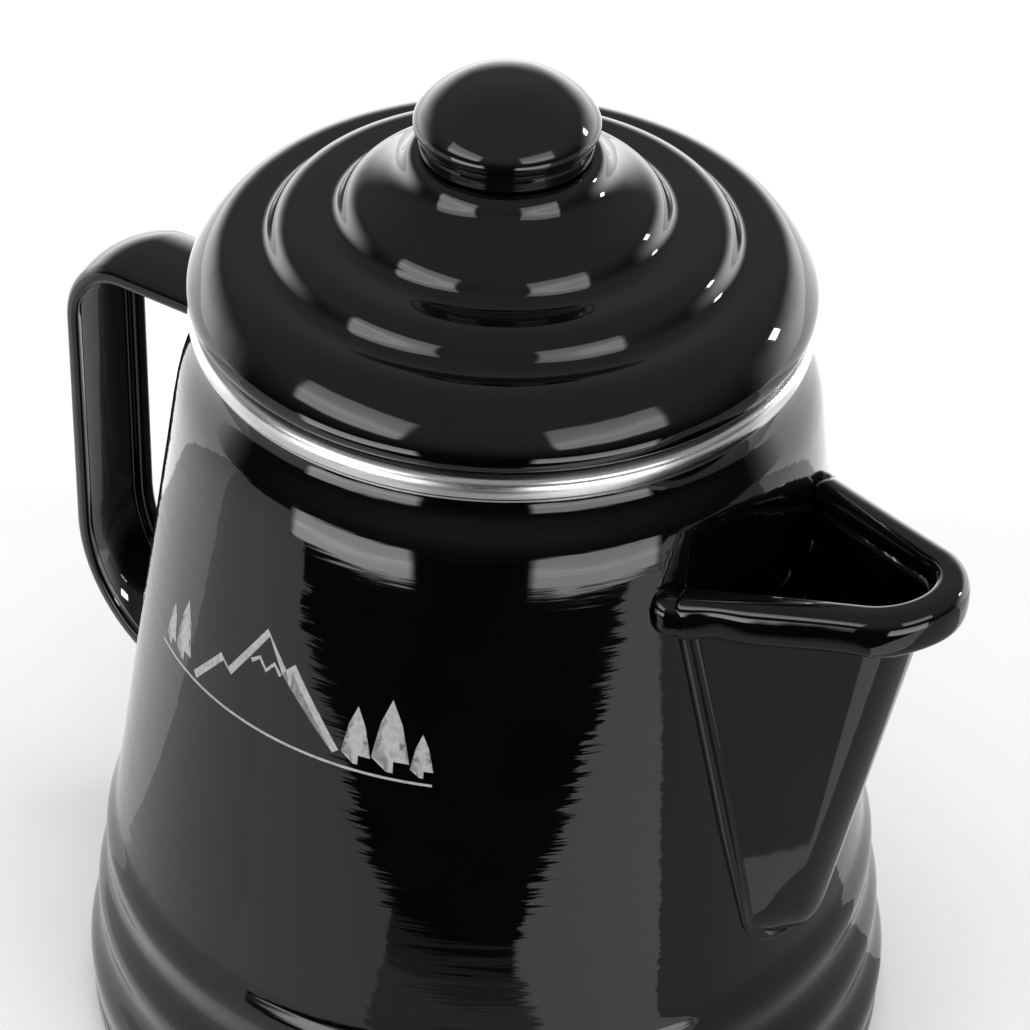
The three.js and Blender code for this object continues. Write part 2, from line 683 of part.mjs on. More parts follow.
function makeCoverSleeve() {
  const under = 3;
  const over = 12;
  return flangedSleeve(COVER_FLOOR - under, COVER_FLOOR + GAP, COVER_FLOOR + over);
}

// ---- Assembly -----------------------------------------------------------------------

addPiece("pot_body", makePotBody(), blackEnamel);
addPiece("pot_base", makePotBase(), blackEnamel);
addPiece("mouth_rim", makeMouthRim(), polishedSteel);
addPiece("spout", makeSpout(), blackEnamel);
addPiece("handle_strap", makeHandleStrap(), blackEnamel);
addPiece("handle_upper_foot", handleFoot(STRAP_TOP - UPPER_FOOT_DROP), blackEnamel);
addPiece("handle_lower_foot", handleFoot(STRAP_BOTTOM - LOWER_FOOT_DROP), blackEnamel);
addPiece("lid_shell", makeLidShell(), blackEnamel);
addPiece("lid_collar", makeLidCollar(), blackEnamel);
addPiece("lid_knob", makeLidKnob(), blackPlastic);
addPiece("knob_gasket", makeKnobGasket(), rubber);
addPiece("knob_insert", makeKnobInsert(), brass);
addPiece("screw_washer", makeScrewWasher(), satinSteel);
addPiece("knob_screw", makeKnobScrew(), satinSteel);
addPiece("riser_tube", makeRiserTube(), satinSteel);
addPiece("riser_bell", makeRiserBell(), satinSteel);
addPiece("basket_stop", makeBasketStop(), satinSteel);
addPiece("basket_cup", makeBasketCup(), satinSteel);
addPiece("basket_sleeve", makeBasketSleeve(), satinSteel);
addPiece("cover_plate", makeCoverPlate(), satinSteel);
addPiece("cover_sleeve", makeCoverSleeve(), satinSteel);

export default percolator;
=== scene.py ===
"""Looks of an enamelled camping coffee percolator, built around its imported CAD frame.

Shapes are worked out in millimetres in the row frame (+Z up, spout along +X, handle along
-X, origin under the pot's axis) and turned into metres when a mesh is made.
"""

import json
import math

import bmesh
import bpy
import numpy as np
from mathutils import Matrix, Vector


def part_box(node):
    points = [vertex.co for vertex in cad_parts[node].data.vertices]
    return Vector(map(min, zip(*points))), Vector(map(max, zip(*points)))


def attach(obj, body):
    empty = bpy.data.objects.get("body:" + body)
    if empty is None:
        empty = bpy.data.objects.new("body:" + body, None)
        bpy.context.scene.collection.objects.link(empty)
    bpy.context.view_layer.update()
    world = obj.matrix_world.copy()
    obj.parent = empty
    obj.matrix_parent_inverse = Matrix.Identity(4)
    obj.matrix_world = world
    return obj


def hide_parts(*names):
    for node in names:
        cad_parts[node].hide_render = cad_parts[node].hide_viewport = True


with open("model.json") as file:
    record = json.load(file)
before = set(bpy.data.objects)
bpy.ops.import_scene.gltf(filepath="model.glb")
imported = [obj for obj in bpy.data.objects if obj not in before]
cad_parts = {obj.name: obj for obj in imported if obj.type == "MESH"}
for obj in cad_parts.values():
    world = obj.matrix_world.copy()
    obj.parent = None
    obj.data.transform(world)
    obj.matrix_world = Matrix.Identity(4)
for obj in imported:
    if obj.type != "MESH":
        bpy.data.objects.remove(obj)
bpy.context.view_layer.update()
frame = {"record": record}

MM = 0.001
SIDES = 256  # sides of a large turned piece
SIDES_SMALL = 96


# ---- Places taken from the frame ----

def node_box(node):
    """Lowest and highest corner of a CAD node, in millimetres."""
    low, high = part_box(node)
    return np.array(low) / MM, np.array(high) / MM


def node_span(node):
    """Bottom, top and radius of a CAD node that is turned about the pot's axis."""
    low, high = node_box(node)
    return low[2], high[2], high[1]


BODY_OF = {
    node: body
    for body, nodes in frame["record"]["behaviour"]["bodies"].items()
    for node in nodes
}

SEAT = node_span("mouth_rim")[1]  # level on which the lid rests

# ---- Driving dimensions that the boxes don't hold (mm) ----

ENAMEL_SHEET = 1.2
BASE_RADIUS = 82.0  # cone's radius where it would meet the ground
CONE_TAPER = 0.15  # radius lost for each millimetre of height
CONE_TOP = 136.0
NECK_RADIUS = 55.2
RIM_HEIGHT = SEAT - 5.0  # lower edge of the steel bead
RIM_RADIUS = 57.5
RIB_COUNT = 3
RIB_PITCH = 14.5
RIB_RISE = 1.2
SEAM = 5.75  # lower edge of the wall, above the base dish

SPOUT_CORNER = np.array([57.3, 22.8, 135.4])  # centre of the rolled edge at the wall
SPOUT_TIP = np.array([98.2, 0.0, 142.5])  # centre of the rolled edge at the tip
SPOUT_BOTTOM = 54.5
SPOUT_BEAD = 3.5
SPOUT_BEAD_TALL = 4.5  # half height of the rolled edge, whose top stays a bead above its line
SPOUT_ROLL_OUT = 2.4
SPOUT_BEAD_SQUARE = 2.7  # exponent of the rolled edge's outline: 2 is round, more is squarer
SPOUT_FOOT_WIDTH = 10.5
SPOUT_FOOT_HEIGHT = 8.0  # height over which the spout's lower end rounds into the wall
SPOUT_FOOT_PROUD = 3.6  # how far the nose stands over the wall above its rounded lower end
SPOUT_FLOOR = 1.6  # height over its lower end at which the spout's inside begins
SPOUT_NOSE_LOW = 6.0  # radius of the fold at the spout's lower end
SPOUT_NOSE_HIGH = 9.5  # and at its tip
SPOUT_INNER = SPOUT_BEAD - SPOUT_ROLL_OUT  # depth at which the bead runs into the inside

HOLE_RADIUS = 3.0
HOLE_PITCH = 10.0
HOLE_ROWS = 4
HOLE_TOP_ROW = 130.0
HOLE_EASE = 0.35  # rounding of a hole's glazed edge
HOLE_CELLS = 14  # grid cells from one hole to the next along a row
ROW_CELLS = 12  # grid cells from one row to the next
BLOCK = 5  # half width in cells of the square that a hole is fitted into

STRAP_REACH = 104.3
STRAP_WIDTH = 20.5
STRAP_DEPTH = 3.4
STRAP_TOP = 138.8
STRAP_CORNER_Z = 135.0
STRAP_UPPER_BEND = 15.5
STRAP_LOWER_BEND = 30.0
STRAP_BOTTOM = 39.0
STRAP_ROOT = 57.0  # distance from the axis at which the upper arm starts
STRAP_ROLL = 3.0
STRAP_CROWN = 2.3  # how far the middle of the outer face stands over its edges
FOOT_THICKNESS = 1.5
FOOT_CORNER = 5.0
FOOT_PROFILE = [  # (share of the foot's half size, share of its thickness), from its middle
    (0.002, 1), (0.35, 1), (0.7, 1), (0.88, 0.97), (0.94, 0.87), (0.98, 0.66), (1.0, 0.35),
    (1.005, 0), (1.0, -0.3), (0.5, -0.3), (0.002, -0.3),
]

KNOB_RECESS = 1.3  # depth of the gasket's seat under the knob
SCREW_HOLE = 2.6  # radius of the lid's hole for the screw
SCREW_BORE = 2.3  # inner radius of the rings on the screw
SLEEVE_BORE = 5.4  # inner radius of the sleeves on the riser's pipe
SIEVE_HOLE = 0.9


# ---- Outlines ----

def unit(vectors):
    """The vectors, each scaled to length 1."""
    return vectors / np.linalg.norm(vectors, axis=-1, keepdims=True)


def smooth_curve(points, step):
    """Points about a step apart on the natural cubic spline through the given points."""
    knots = np.array(points, float)
    along = np.concatenate([[0], np.cumsum(np.linalg.norm(np.diff(knots, axis=0), axis=1))])
    gaps = np.diff(along)
    system = np.eye(len(knots))
    pull = np.zeros_like(knots)
    slopes = np.diff(knots, axis=0) / gaps[:, None]
    for i in range(1, len(knots) - 1):
        system[i, i - 1:i + 2] = gaps[i - 1], 2 * (gaps[i - 1] + gaps[i]), gaps[i]
        pull[i] = 6 * (slopes[i] - slopes[i - 1])
    bend = np.linalg.solve(system, pull)
    place = np.linspace(0, along[-1], max(2, round(along[-1] / step) + 1))
    span = np.clip(np.searchsorted(along, place, side="right") - 1, 0, len(gaps) - 1)
    gap = gaps[span]
    before = ((along[span + 1] - place) / gap)[:, None]
    after = 1 - before
    curved = (before**3 - before) * bend[span] + (after**3 - after) * bend[span + 1]
    return before * knots[span] + after * knots[span + 1] + curved * (gap**2 / 6)[:, None]


def rounded(corners, steps=6):
    """Closed outline through (radius, height, rounding) corners, each eased by its rounding."""
    outline = []
    count = len(corners)
    for i, (radius, height, rounding) in enumerate(corners):
        corner = np.array([radius, height], float)
        before = np.array(corners[i - 1][:2]) - corner
        after = np.array(corners[(i + 1) % count][:2]) - corner
        if rounding == 0:
            outline.append(corner)
            continue
        reach = min(rounding, 0.48 * np.linalg.norm(before), 0.48 * np.linalg.norm(after))
        start = corner + reach * before / np.linalg.norm(before)
        end = corner + reach * after / np.linalg.norm(after)
        for k in range(steps + 1):
            t = k / steps
            outline.append((1 - t)**2 * start + 2 * t * (1 - t) * corner + t**2 * end)
    return np.array(outline)


def supported(outline, edge=0.3):
    """The closed outline with extra points near both ends of its long straight runs."""
    points = []
    for here, there in zip(outline, np.roll(outline, -1, axis=0)):
        points.append(here)
        length = np.linalg.norm(there - here)
        if length > 4 * edge:
            along = (there - here) / length
            points.append(here + edge * along)
            points.append(there - edge * along)
    return np.array(points)


def evened(outline, step):
    """The closed outline with its points no further apart than a step."""
    points = []
    for here, there in zip(outline, np.roll(outline, -1, axis=0)):
        count = math.ceil(np.linalg.norm(there - here) / step)
        points += [here + (there - here) * k / count for k in range(count)]
    return np.array(points)


def outward_normals(outline):
    """Unit normals on the right of the direction of travel."""
    along = np.gradient(outline, axis=0)
    return unit(np.stack([along[:, 1], -along[:, 0]], axis=1))


def softened(outline, passes):
    """Outline with its small unevenness smoothed away; its two ends stay."""
    result = outline.copy()
    for _ in range(passes):
        result[1:-1] = 0.25 * result[:-2] + 0.5 * result[1:-1] + 0.25 * result[2:]
    return result


def sheet_outline(outer, thickness, end_steps=5):
    """Closed outline of a sheet under an outer face, with half-round edges.

    The outer face runs so that the metal lies on the left of its direction of travel."""
    normals = outward_normals(outer)
    inner = outer - thickness * normals
    rims = []
    for i, direction in ((-1, 1), (0, -1)):
        middle = (outer[i] + inner[i]) / 2
        arm = (outer[i] - inner[i]) / 2
        ahead = direction * thickness / 2 * np.array([-normals[i][1], normals[i][0]])
        turns = [math.pi * k / end_steps for k in range(1, end_steps)]
        rims.append([middle + direction * math.cos(a) * arm + math.sin(a) * ahead for a in turns])
    return np.concatenate([outer, rims[0], inner[::-1], rims[1]])


# ---- Meshes ----

def grid_faces(rows, columns, wrap_rows=False, wrap_columns=False):
    """Quads of a grid whose points are numbered row by row."""
    faces = []
    for i in range(rows if wrap_rows else rows - 1):
        low = i * columns
        high = (i + 1) % rows * columns
        for j in range(columns if wrap_columns else columns - 1):
            k = (j + 1) % columns
            faces.append((low + j, low + k, high + k, high + j))
    return faces


def capped_faces(rows, columns):
    """Faces of a closed tube made of rings of points, with a flat face at each end."""
    ends = [tuple(range(columns)), tuple(range((rows - 1) * columns, rows * columns))]
    return grid_faces(rows, columns, wrap_columns=True) + ends


def add_object(name, data):
    """Object linked to the scene."""
    item = bpy.data.objects.new(name, data)
    bpy.context.scene.collection.objects.link(item)
    return item


def add_piece(name, mesh, material):
    """Object of one material."""
    mesh.materials.append(material)
    return add_object(name, mesh)


def add_mesh(name, points, faces, material):
    """Smooth closed mesh from points in millimetres. Its faces point out, and points that no
    face uses are dropped."""
    mesh = bpy.data.meshes.new(name)
    mesh.from_pydata((np.asarray(points).reshape(-1, 3) * MM).tolist(), [], faces)
    shape = bmesh.new()
    shape.from_mesh(mesh)
    loose = [vertex for vertex in shape.verts if not vertex.link_faces]
    bmesh.ops.delete(shape, geom=loose, context="VERTS")
    bmesh.ops.remove_doubles(shape, verts=shape.verts, dist=1e-7)
    bmesh.ops.recalc_face_normals(shape, faces=shape.faces)
    shape.to_mesh(mesh)
    shape.free()
    mesh.shade_smooth()
    return add_piece(name, mesh, material)


def turned(name, outline, material, sides=SIDES):
    """Closed outline turned about the pot's axis."""
    outline = supported(np.asarray(outline, float))
    angles = 2 * np.pi * np.arange(sides) / sides
    points = np.empty((len(outline), sides, 3))
    points[..., 0] = outline[:, :1] * np.cos(angles)
    points[..., 1] = outline[:, :1] * np.sin(angles)
    points[..., 2] = outline[:, 1:]
    return add_mesh(name, points, grid_faces(len(outline), sides, True, True), material)


def settle(piece, node):
    """The piece stands for a CAD node, on the node's body."""
    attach(piece, BODY_OF[node])
    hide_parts(node)


def apply_modifiers(piece):
    depsgraph = bpy.context.evaluated_depsgraph_get()
    mesh = bpy.data.meshes.new_from_object(piece.evaluated_get(depsgraph))
    piece.modifiers.clear()
    piece.data = mesh


def cut(piece, cutters, sharp_angle):
    """Cuts a list of closed bodies, each (points in mm, faces), out of the piece."""
    points = []
    faces = []
    for body, body_faces in cutters:
        faces += [[len(points) + i for i in face] for face in body_faces]
        points += [tuple(point) for point in body]
    cutter = add_mesh(piece.name + "_cutter", points, faces, piece.data.materials[0])
    modifier = piece.modifiers.new("holes", "BOOLEAN")
    modifier.operation = "DIFFERENCE"
    modifier.solver = "EXACT"
    modifier.object = cutter
    apply_modifiers(piece)
    bpy.data.objects.remove(cutter)
    piece.data.shade_smooth()
    piece.data.set_sharp_from_angle(angle=math.radians(sharp_angle))


def drill(radius, x, y, bottom, top, sides=20):
    """Upright drill: its points and faces."""
    angles = [2 * math.pi * k / sides for k in range(sides)]
    points = [
        (x + radius * math.cos(a), y + radius * math.sin(a), z)
        for z in (bottom, top) for a in angles
    ]
    return points, capped_faces(2, sides)


def drill_circles(circles, radius, bottom, top):
    """Drills spaced evenly on circles given as (circle radius, number of holes)."""
    drills = []
    for circle, count in circles:
        for i in range(count):
            angle = 2 * math.pi * (i + 0.5) / count
            place = (circle * math.cos(angle), circle * math.sin(angle))
            drills.append(drill(radius, *place, bottom, top))
    return drills


# ---- Materials ----

NOISE_MIDDLE = (0.35, 0.65)  # a noise seldom leaves this range


class Nodes:
    """Builder of the nodes of a material or of the world."""

    def __init__(self, owner):
        owner.use_nodes = True
        self.nodes = owner.node_tree.nodes
        self.links = owner.node_tree.links

    def feed(self, socket, value):
        """Links a node's output to the socket, or sets the socket to a constant."""
        if isinstance(value, bpy.types.NodeSocket):
            self.links.new(value, socket)
        else:
            socket.default_value = value

    def fill(self, node, **values):
        """Feeds the node's named sockets; an underscore stands for a space."""
        for name, value in values.items():
            self.feed(node.inputs[name.replace("_", " ")], value)
        return node

    def add(self, kind, **values):
        return self.fill(self.nodes.new("ShaderNode" + kind), **values)

    def math(self, operation, *values, kind="Math"):
        node = self.add(kind)
        node.operation = operation
        for socket, value in zip(node.inputs, values):
            self.feed(socket, value)
        return node.outputs["Value"]

    def remap(self, value, start, end, low, high, shape="SMOOTHSTEP"):
        """Takes values from start to end to levels from low to high."""
        ends = {"From_Min": start, "From_Max": end, "To_Min": low, "To_Max": high}
        node = self.add("MapRange", Value=value, **ends)
        node.interpolation_type = shape
        return node.outputs[0]


class Shader(Nodes):
    """Node material around one Principled shader."""

    def __init__(self, name, **values):
        self.material = bpy.data.materials.new(name)
        super().__init__(self.material)
        self.principled = self.fill(self.nodes["Principled BSDF"], **values)
        self.place = self.add("TexCoord").outputs["Object"]
        self.relief = {}

    def stretched(self, scale):
        """Place on the object, scaled along each axis."""
        return self.add("Mapping", Vector=self.place, Scale=scale).outputs[0]

    def around(self, turns, radial, upward):
        """Place as (turn about the axis, distance from it, height), each with its own scale."""
        x, y, z = self.add("SeparateXYZ", Vector=self.place).outputs
        squares = self.math("ADD", self.math("MULTIPLY", x, x), self.math("MULTIPLY", y, y))
        places = {"X": self.math("ARCTAN2", y, x), "Y": self.math("SQRT", squares), "Z": z}
        scales = {"X": turns, "Y": radial, "Z": upward}
        scaled = {axis: self.math("MULTIPLY", places[axis], scales[axis]) for axis in "XYZ"}
        return self.add("CombineXYZ", **scaled).outputs[0]

    def noise(self, vector, scale, detail, roughness=0.5):
        node = self.add("TexNoise", Vector=vector, Scale=scale, Detail=detail, Roughness=roughness)
        return node.outputs["Fac"]

    def roughen(self, factor, low, high):
        """Roughness from low to high over the middle of a noise."""
        self.fill(self.principled, Roughness=self.remap(factor, *NOISE_MIDDLE, low, high, "LINEAR"))

    def blend_colours(self, factor, *colours):
        """Base colour from the first to the second over the middle of a noise."""
        node = self.add("ValToRGB", Fac=factor)
        for element, position, colour in zip(node.color_ramp.elements, NOISE_MIDDLE, colours):
            element.position = position
            element.color = (*colour, 1)
        self.fill(self.principled, Base_Color=node.outputs["Color"])

    def bump(self, height, distance):
        """Adds relief of that height in millimetres over the relief so far."""
        node = self.add("Bump", Strength=1, Distance=distance * MM, Height=height, **self.relief)
        self.relief = {"Normal": node.outputs["Normal"]}
        self.fill(self.principled, **self.relief)


class Glow(Nodes):
    """Node material that only gives white light."""

    def __init__(self, name, strength=1):
        self.material = bpy.data.materials.new(name)
        super().__init__(self.material)
        self.nodes.remove(self.nodes["Principled BSDF"])
        self.light = self.add("Emission", Color=(1, 1, 1, 1), Strength=strength)
        self.fill(self.nodes["Material Output"], Surface=self.light.outputs[0])


def make_enamel(name, spun=0.0):
    """Black vitreous enamel: deep gloss, faint orange peel and, on a spun wall, fine rings."""
    enamel = Shader(name, IOR=1.52, Specular_IOR_Level=0.5)
    cloud = enamel.noise(enamel.place, 60, 3)
    enamel.blend_colours(cloud, (0.0008, 0.0008, 0.0009), (0.0016, 0.0016, 0.0017))
    enamel.roughen(enamel.noise(enamel.place, 35, 4), 0.03, 0.065)
    enamel.bump(enamel.noise(enamel.place, 130, 1), 0.05)
    enamel.bump(enamel.noise(enamel.place, 700, 2), 0.0015)
    if spun:
        rings = enamel.noise(enamel.stretched((26, 26, 380)), 1, 3)
        enamel.bump(rings, spun)
    return enamel.material


def make_knob_black():
    """Moulded phenolic: gloss with a slightly softer sheen than the enamel."""
    knob = Shader("knob_phenolic", IOR=1.55)
    cloud = knob.noise(knob.place, 90, 3)
    knob.blend_colours(cloud, (0.0022, 0.0022, 0.0024), (0.004, 0.004, 0.0042))
    knob.roughen(knob.noise(knob.place, 80, 3), 0.05, 0.1)
    knob.bump(knob.noise(knob.place, 160, 1), 0.03)
    return knob.material


def make_steel(name, dark, light, rough, streaks, relief):
    """Stainless steel with marks that run round the axis."""
    steel = Shader(name, Metallic=1.0)
    marks = steel.noise(steel.around(1.6, streaks, streaks), 1, 4, 0.6)
    steel.blend_colours(marks, dark, light)
    steel.roughen(marks, *rough)
    steel.bump(marks, relief)
    return steel.material


def make_brass():
    brass = Shader("turned_brass", Metallic=1.0)
    marks = brass.noise(brass.around(1.2, 2600, 2600), 1, 3)
    brass.blend_colours(marks, (0.52, 0.36, 0.14), (0.68, 0.5, 0.22))
    brass.roughen(marks, 0.24, 0.4)
    brass.bump(marks, 0.004)
    return brass.material


def make_rubber():
    rubber = Shader("food_safe_rubber", IOR=1.5)
    grain = rubber.noise(rubber.place, 1400, 3)
    rubber.blend_colours(grain, (0.018, 0.018, 0.018), (0.035, 0.035, 0.034))
    rubber.roughen(grain, 0.6, 0.85)
    rubber.bump(grain, 0.03)
    return rubber.material


ENAMEL = make_enamel("black_enamel")
ENAMEL_WALL = make_enamel("black_enamel_wall", spun=0.055)
KNOB_BLACK = make_knob_black()
RIM_STEEL = make_steel("rim_steel", (0.62, 0.63, 0.64), (0.84, 0.85, 0.86),
                       rough=(0.2, 0.34), streaks=900, relief=0.006)
INSERT_STEEL = make_steel("insert_steel", (0.48, 0.49, 0.5), (0.66, 0.67, 0.68),
                          rough=(0.24, 0.38), streaks=1800, relief=0.006)
BRASS = make_brass()
RUBBER = make_rubber()


# ---- Pot wall ----

def shoulder_curve():
    """Wall from the upper cone over the shoulder to the lip, as (radius, height) points."""
    cone = [(cone_radius(z), z) for z in (104, 114, 124, CONE_TOP)]
    return smooth_curve(cone + [(60.35, 144), (58.8, 150), (56.7, 154.4), (55.45, 157.6),
                                (NECK_RADIUS, 160.6), (NECK_RADIUS, SEAT - 1.9)], 0.4)


def cone_radius(height):
    return BASE_RADIUS - CONE_TAPER * height


SHOULDER = shoulder_curve()


def wall_radius(height):
    """Radius of the wall's outer face at a height, or at an array of heights."""
    height = np.asarray(height, float)
    along = (height - SEAM) / RIB_PITCH
    rib = RIB_RISE * np.sin(np.pi * np.clip(along, 0, RIB_COUNT))**2
    upper = np.interp(height, SHOULDER[:, 1], SHOULDER[:, 0])
    return np.where(height < CONE_TOP - 4, cone_radius(height) + rib, upper)


def wall_point(angle, height, depth):
    """Point at a depth under the wall's outer face; negative depths stand proud of it."""
    step = 0.05
    slope = (wall_radius(height + step) - wall_radius(height - step)) / (2 * step)
    length = np.sqrt(1 + slope**2)
    radius = wall_radius(height) - depth / length
    shape = np.broadcast(angle, height, depth).shape
    point = np.empty(shape + (3,))
    point[..., 0] = radius * np.cos(angle)
    point[..., 1] = radius * np.sin(angle)
    point[..., 2] = height + depth * slope / length
    return point


def strainer_levels():
    """Grid heights through the strainer's rows, from the lowest block to the highest."""
    cell = HOLE_PITCH * math.sin(math.pi / 3) / ROW_CELLS
    below = (HOLE_ROWS - 1) * ROW_CELLS + BLOCK + 1
    return [HOLE_TOP_ROW + cell * k for k in range(-below, BLOCK + 2)]


def wall_levels():
    """Heights of the wall's grid rows from the seam to the lip."""
    ribs = list(np.arange(SEAM + 0.5, SEAM + RIB_COUNT * RIB_PITCH, 0.4))
    plain = list(np.arange(ribs[-1] + 3, strainer_levels()[0] - 1, 3.5))
    upper = [z for z in SHOULDER[:, 1] if z > strainer_levels()[-1] + 0.3]
    return ribs + plain + strainer_levels() + upper


def strainer_angles():
    """Grid angles, fine across the strainer and about 1.3 degrees apart elsewhere, and the
    number of the one in the middle of the strainer."""
    cell = HOLE_PITCH / float(wall_radius(HOLE_TOP_ROW)) / HOLE_CELLS
    half = HOLE_CELLS * (HOLE_ROWS - 1) // 2 + BLOCK + 1
    fine = [cell * k for k in range(-half, half + 1)]
    rest = 2 * math.pi - 2 * half * cell
    count = round(rest / math.radians(1.3))
    return np.array(fine + [half * cell + rest * k / count for k in range(1, count)]), half


def square_ring(reach):
    """Cell offsets (across, up) round a square, starting at its lower left corner."""
    span = range(-reach, reach)
    return (
        [(k, -reach) for k in span] + [(reach, k) for k in span]
        + [(-k, reach) for k in span] + [(-reach, -k) for k in span]
    )


def hole_circle(angle, height, radius, depth):
    """Ring of wall points round a hole, in step with square_ring(BLOCK - 1)."""
    count = 8 * (BLOCK - 1)
    turns = -0.75 * np.pi + 2 * np.pi * np.arange(count) / count
    across = radius * np.cos(turns) / wall_radius(height)
    return wall_point(angle + across, height + radius * np.sin(turns), depth)


def make_pot_body():
    """Spun wall with its ribs, shoulder and lip, and the strainer's glazed holes."""
    levels = np.array(wall_levels())
    angles, half = strainer_angles()
    columns = len(angles)
    half_sheet = ENAMEL_SHEET / 2
    lip = [(levels[-1] + half_sheet * math.sin(a), half_sheet * (1 - math.cos(a)))
           for a in np.linspace(0, math.pi, 7)[1:-1]]
    hem = [(levels[0] - 0.4 * math.sin(a), half_sheet * (1 + math.cos(a)))
           for a in np.linspace(0, math.pi, 5)[1:-1]]
    rows = [(z, 0.0) for z in levels] + lip + [(z, ENAMEL_SHEET) for z in levels[::-1]] + hem
    heights, depths = np.array(rows).T[..., None]
    points = list(wall_point(angles, heights, depths).reshape(-1, 3))
    cells = range(1 - BLOCK, BLOCK - 1)
    removed = set()
    tubes = []
    first = int(np.argmin(abs(levels - strainer_levels()[0]))) + BLOCK + 1
    last_inner = len(levels) * 2 + len(lip) - 1
    eased = [(HOLE_RADIUS + HOLE_EASE * (1 - math.sin(a)), HOLE_EASE * (1 - math.cos(a)))
             for a in np.linspace(0, math.pi / 2, 4)[1:]]
    hole = eased + [(radius, ENAMEL_SHEET - depth) for radius, depth in eased[::-1]]
    for row, place in ((row, place) for row in range(HOLE_ROWS) for place in range(row + 1)):
        level = first + row * ROW_CELLS
        column = half + round((place - row / 2) * HOLE_CELLS)
        loops = []
        for line, way, depth in ((level, 1, 0.0), (last_inner - level, -1, ENAMEL_SHEET)):
            ring = hole_circle(angles[column], levels[level], HOLE_RADIUS + HOLE_EASE, depth)
            loop = [(line + way * up) * columns + (column + across) % columns
                    for across, up in square_ring(BLOCK - 1)]
            for index, point in zip(loop, ring):
                points[index] = point
            loops.append(loop)
            removed |= {(line + i, (column + j) % columns) for i in cells for j in cells}
        chain = [loops[0]]
        for radius, depth in hole:
            ring = hole_circle(angles[column], levels[level], radius, depth)
            chain.append(list(range(len(points), len(points) + len(ring))))
            points += list(ring)
        tubes.append(chain + [loops[1]])
    faces = [
        face for k, face in enumerate(grid_faces(len(rows), columns, True, True))
        if divmod(k, columns) not in removed
    ]
    for chain in tubes:
        for upper, lower in zip(chain, chain[1:]):
            faces += zip(upper, upper[1:] + upper[:1], lower[1:] + lower[:1], lower)
    settle(add_mesh("pot_wall", points, faces, ENAMEL_WALL), "pot_body")


def make_pot_base():
    """Pressed dish under the wall, its flange standing inside it."""
    edge = float(wall_radius(SEAM)) - 0.1
    flange = edge - ENAMEL_SHEET - 0.3
    seam = SEAM - 0.25
    outline = rounded([
        (0, 0, 0), (66, 0, 2), (68, 0.9, 1.5), (71, 0.9, 1.5), (73, 0, 1.5), (edge, 0, 5.2),
        (edge, seam, 0.5), (flange, seam, 0.3), (flange, seam + 5.5, 0.5),
        (flange - ENAMEL_SHEET, seam + 5.5, 0.5), (flange - ENAMEL_SHEET, ENAMEL_SHEET + 0.6, 3),
        (0, ENAMEL_SHEET, 0),
    ])
    settle(turned("pot_base_dish", outline, ENAMEL), "pot_base")


def make_mouth_rim():
    """Bright steel ring crimped over the lip, with a thin hem under its bead."""
    slot = NECK_RADIUS + 0.25
    leg = NECK_RADIUS - ENAMEL_SHEET - 0.3
    outline = rounded([
        (slot, RIM_HEIGHT - 0.8, 0.2), (slot + 0.9, RIM_HEIGHT - 0.7, 0.4),
        (slot + 1.1, RIM_HEIGHT + 0.2, 0.4),
        (RIM_RADIUS - 0.35, RIM_HEIGHT + 0.6, 0.7), (RIM_RADIUS + 0.05, RIM_HEIGHT + 2.4, 1.6),
        (RIM_RADIUS - 0.4, RIM_HEIGHT + 4.2, 1.2), (RIM_RADIUS - 2.1, SEAT, 1.4),
        (leg + 0.2, SEAT, 1), (leg - 0.5, RIM_HEIGHT + 3.2, 1), (leg - 0.5, RIM_HEIGHT - 3, 0.2),
        (leg, RIM_HEIGHT - 3, 0.2), (leg, SEAT - 0.9, 0.3), (slot, SEAT - 0.9, 0.3),
    ])
    settle(turned("mouth_rim_ring", outline, RIM_STEEL), "mouth_rim")


# ---- Print on the wall ----

PRINT_ANGLE = math.radians(-90)  # middle of the print round the wall
PRINT_BASE = 104.5  # height of its ground line
PRINT_PROUD = 0.06  # thickness of the fired ink over the enamel
PRINT_SLICE = 0.7  # widest flat piece of the print, so that it follows the wall
RIDGE = [(-20, 0), (-12.5, 8.5), (-10, 6.8), (-1, 19.5), (3.4, 13.2), (5.2, 15.2), (15.5, 1.4)]
SNOW = [(-4.6, 12), (-2.6, 13.6), (-0.9, 11.6), (1, 13.8), (2.6, 12)]
GROUND = [(-34, -1.3), (34, -1.3)]
PINES = [(-30.5, 9), (-25.2, 13), (19.5, 12), (26.1, 15), (32, 9)]  # (across, height)
PINE_SIDE = [  # right side of a pine of height 1, from its trunk to its tip
    (0.04, 0), (0.04, 0.16), (0.24, 0.16), (0.09, 0.42), (0.19, 0.42), (0.07, 0.66), (0.14, 0.66),
    (0, 1),
]


def stroke(points, width):
    """Outline of a line of even width through flat (across, up) points."""
    points = np.array(points, float)
    square = -outward_normals(points) * width / 2
    return np.concatenate([points - square, (points + square)[::-1]])


def pine(across, height):
    side = np.array(PINE_SIDE)
    outline = np.concatenate([side, side[-2::-1] * (-1, 1)])
    return outline * height + (across, 0)


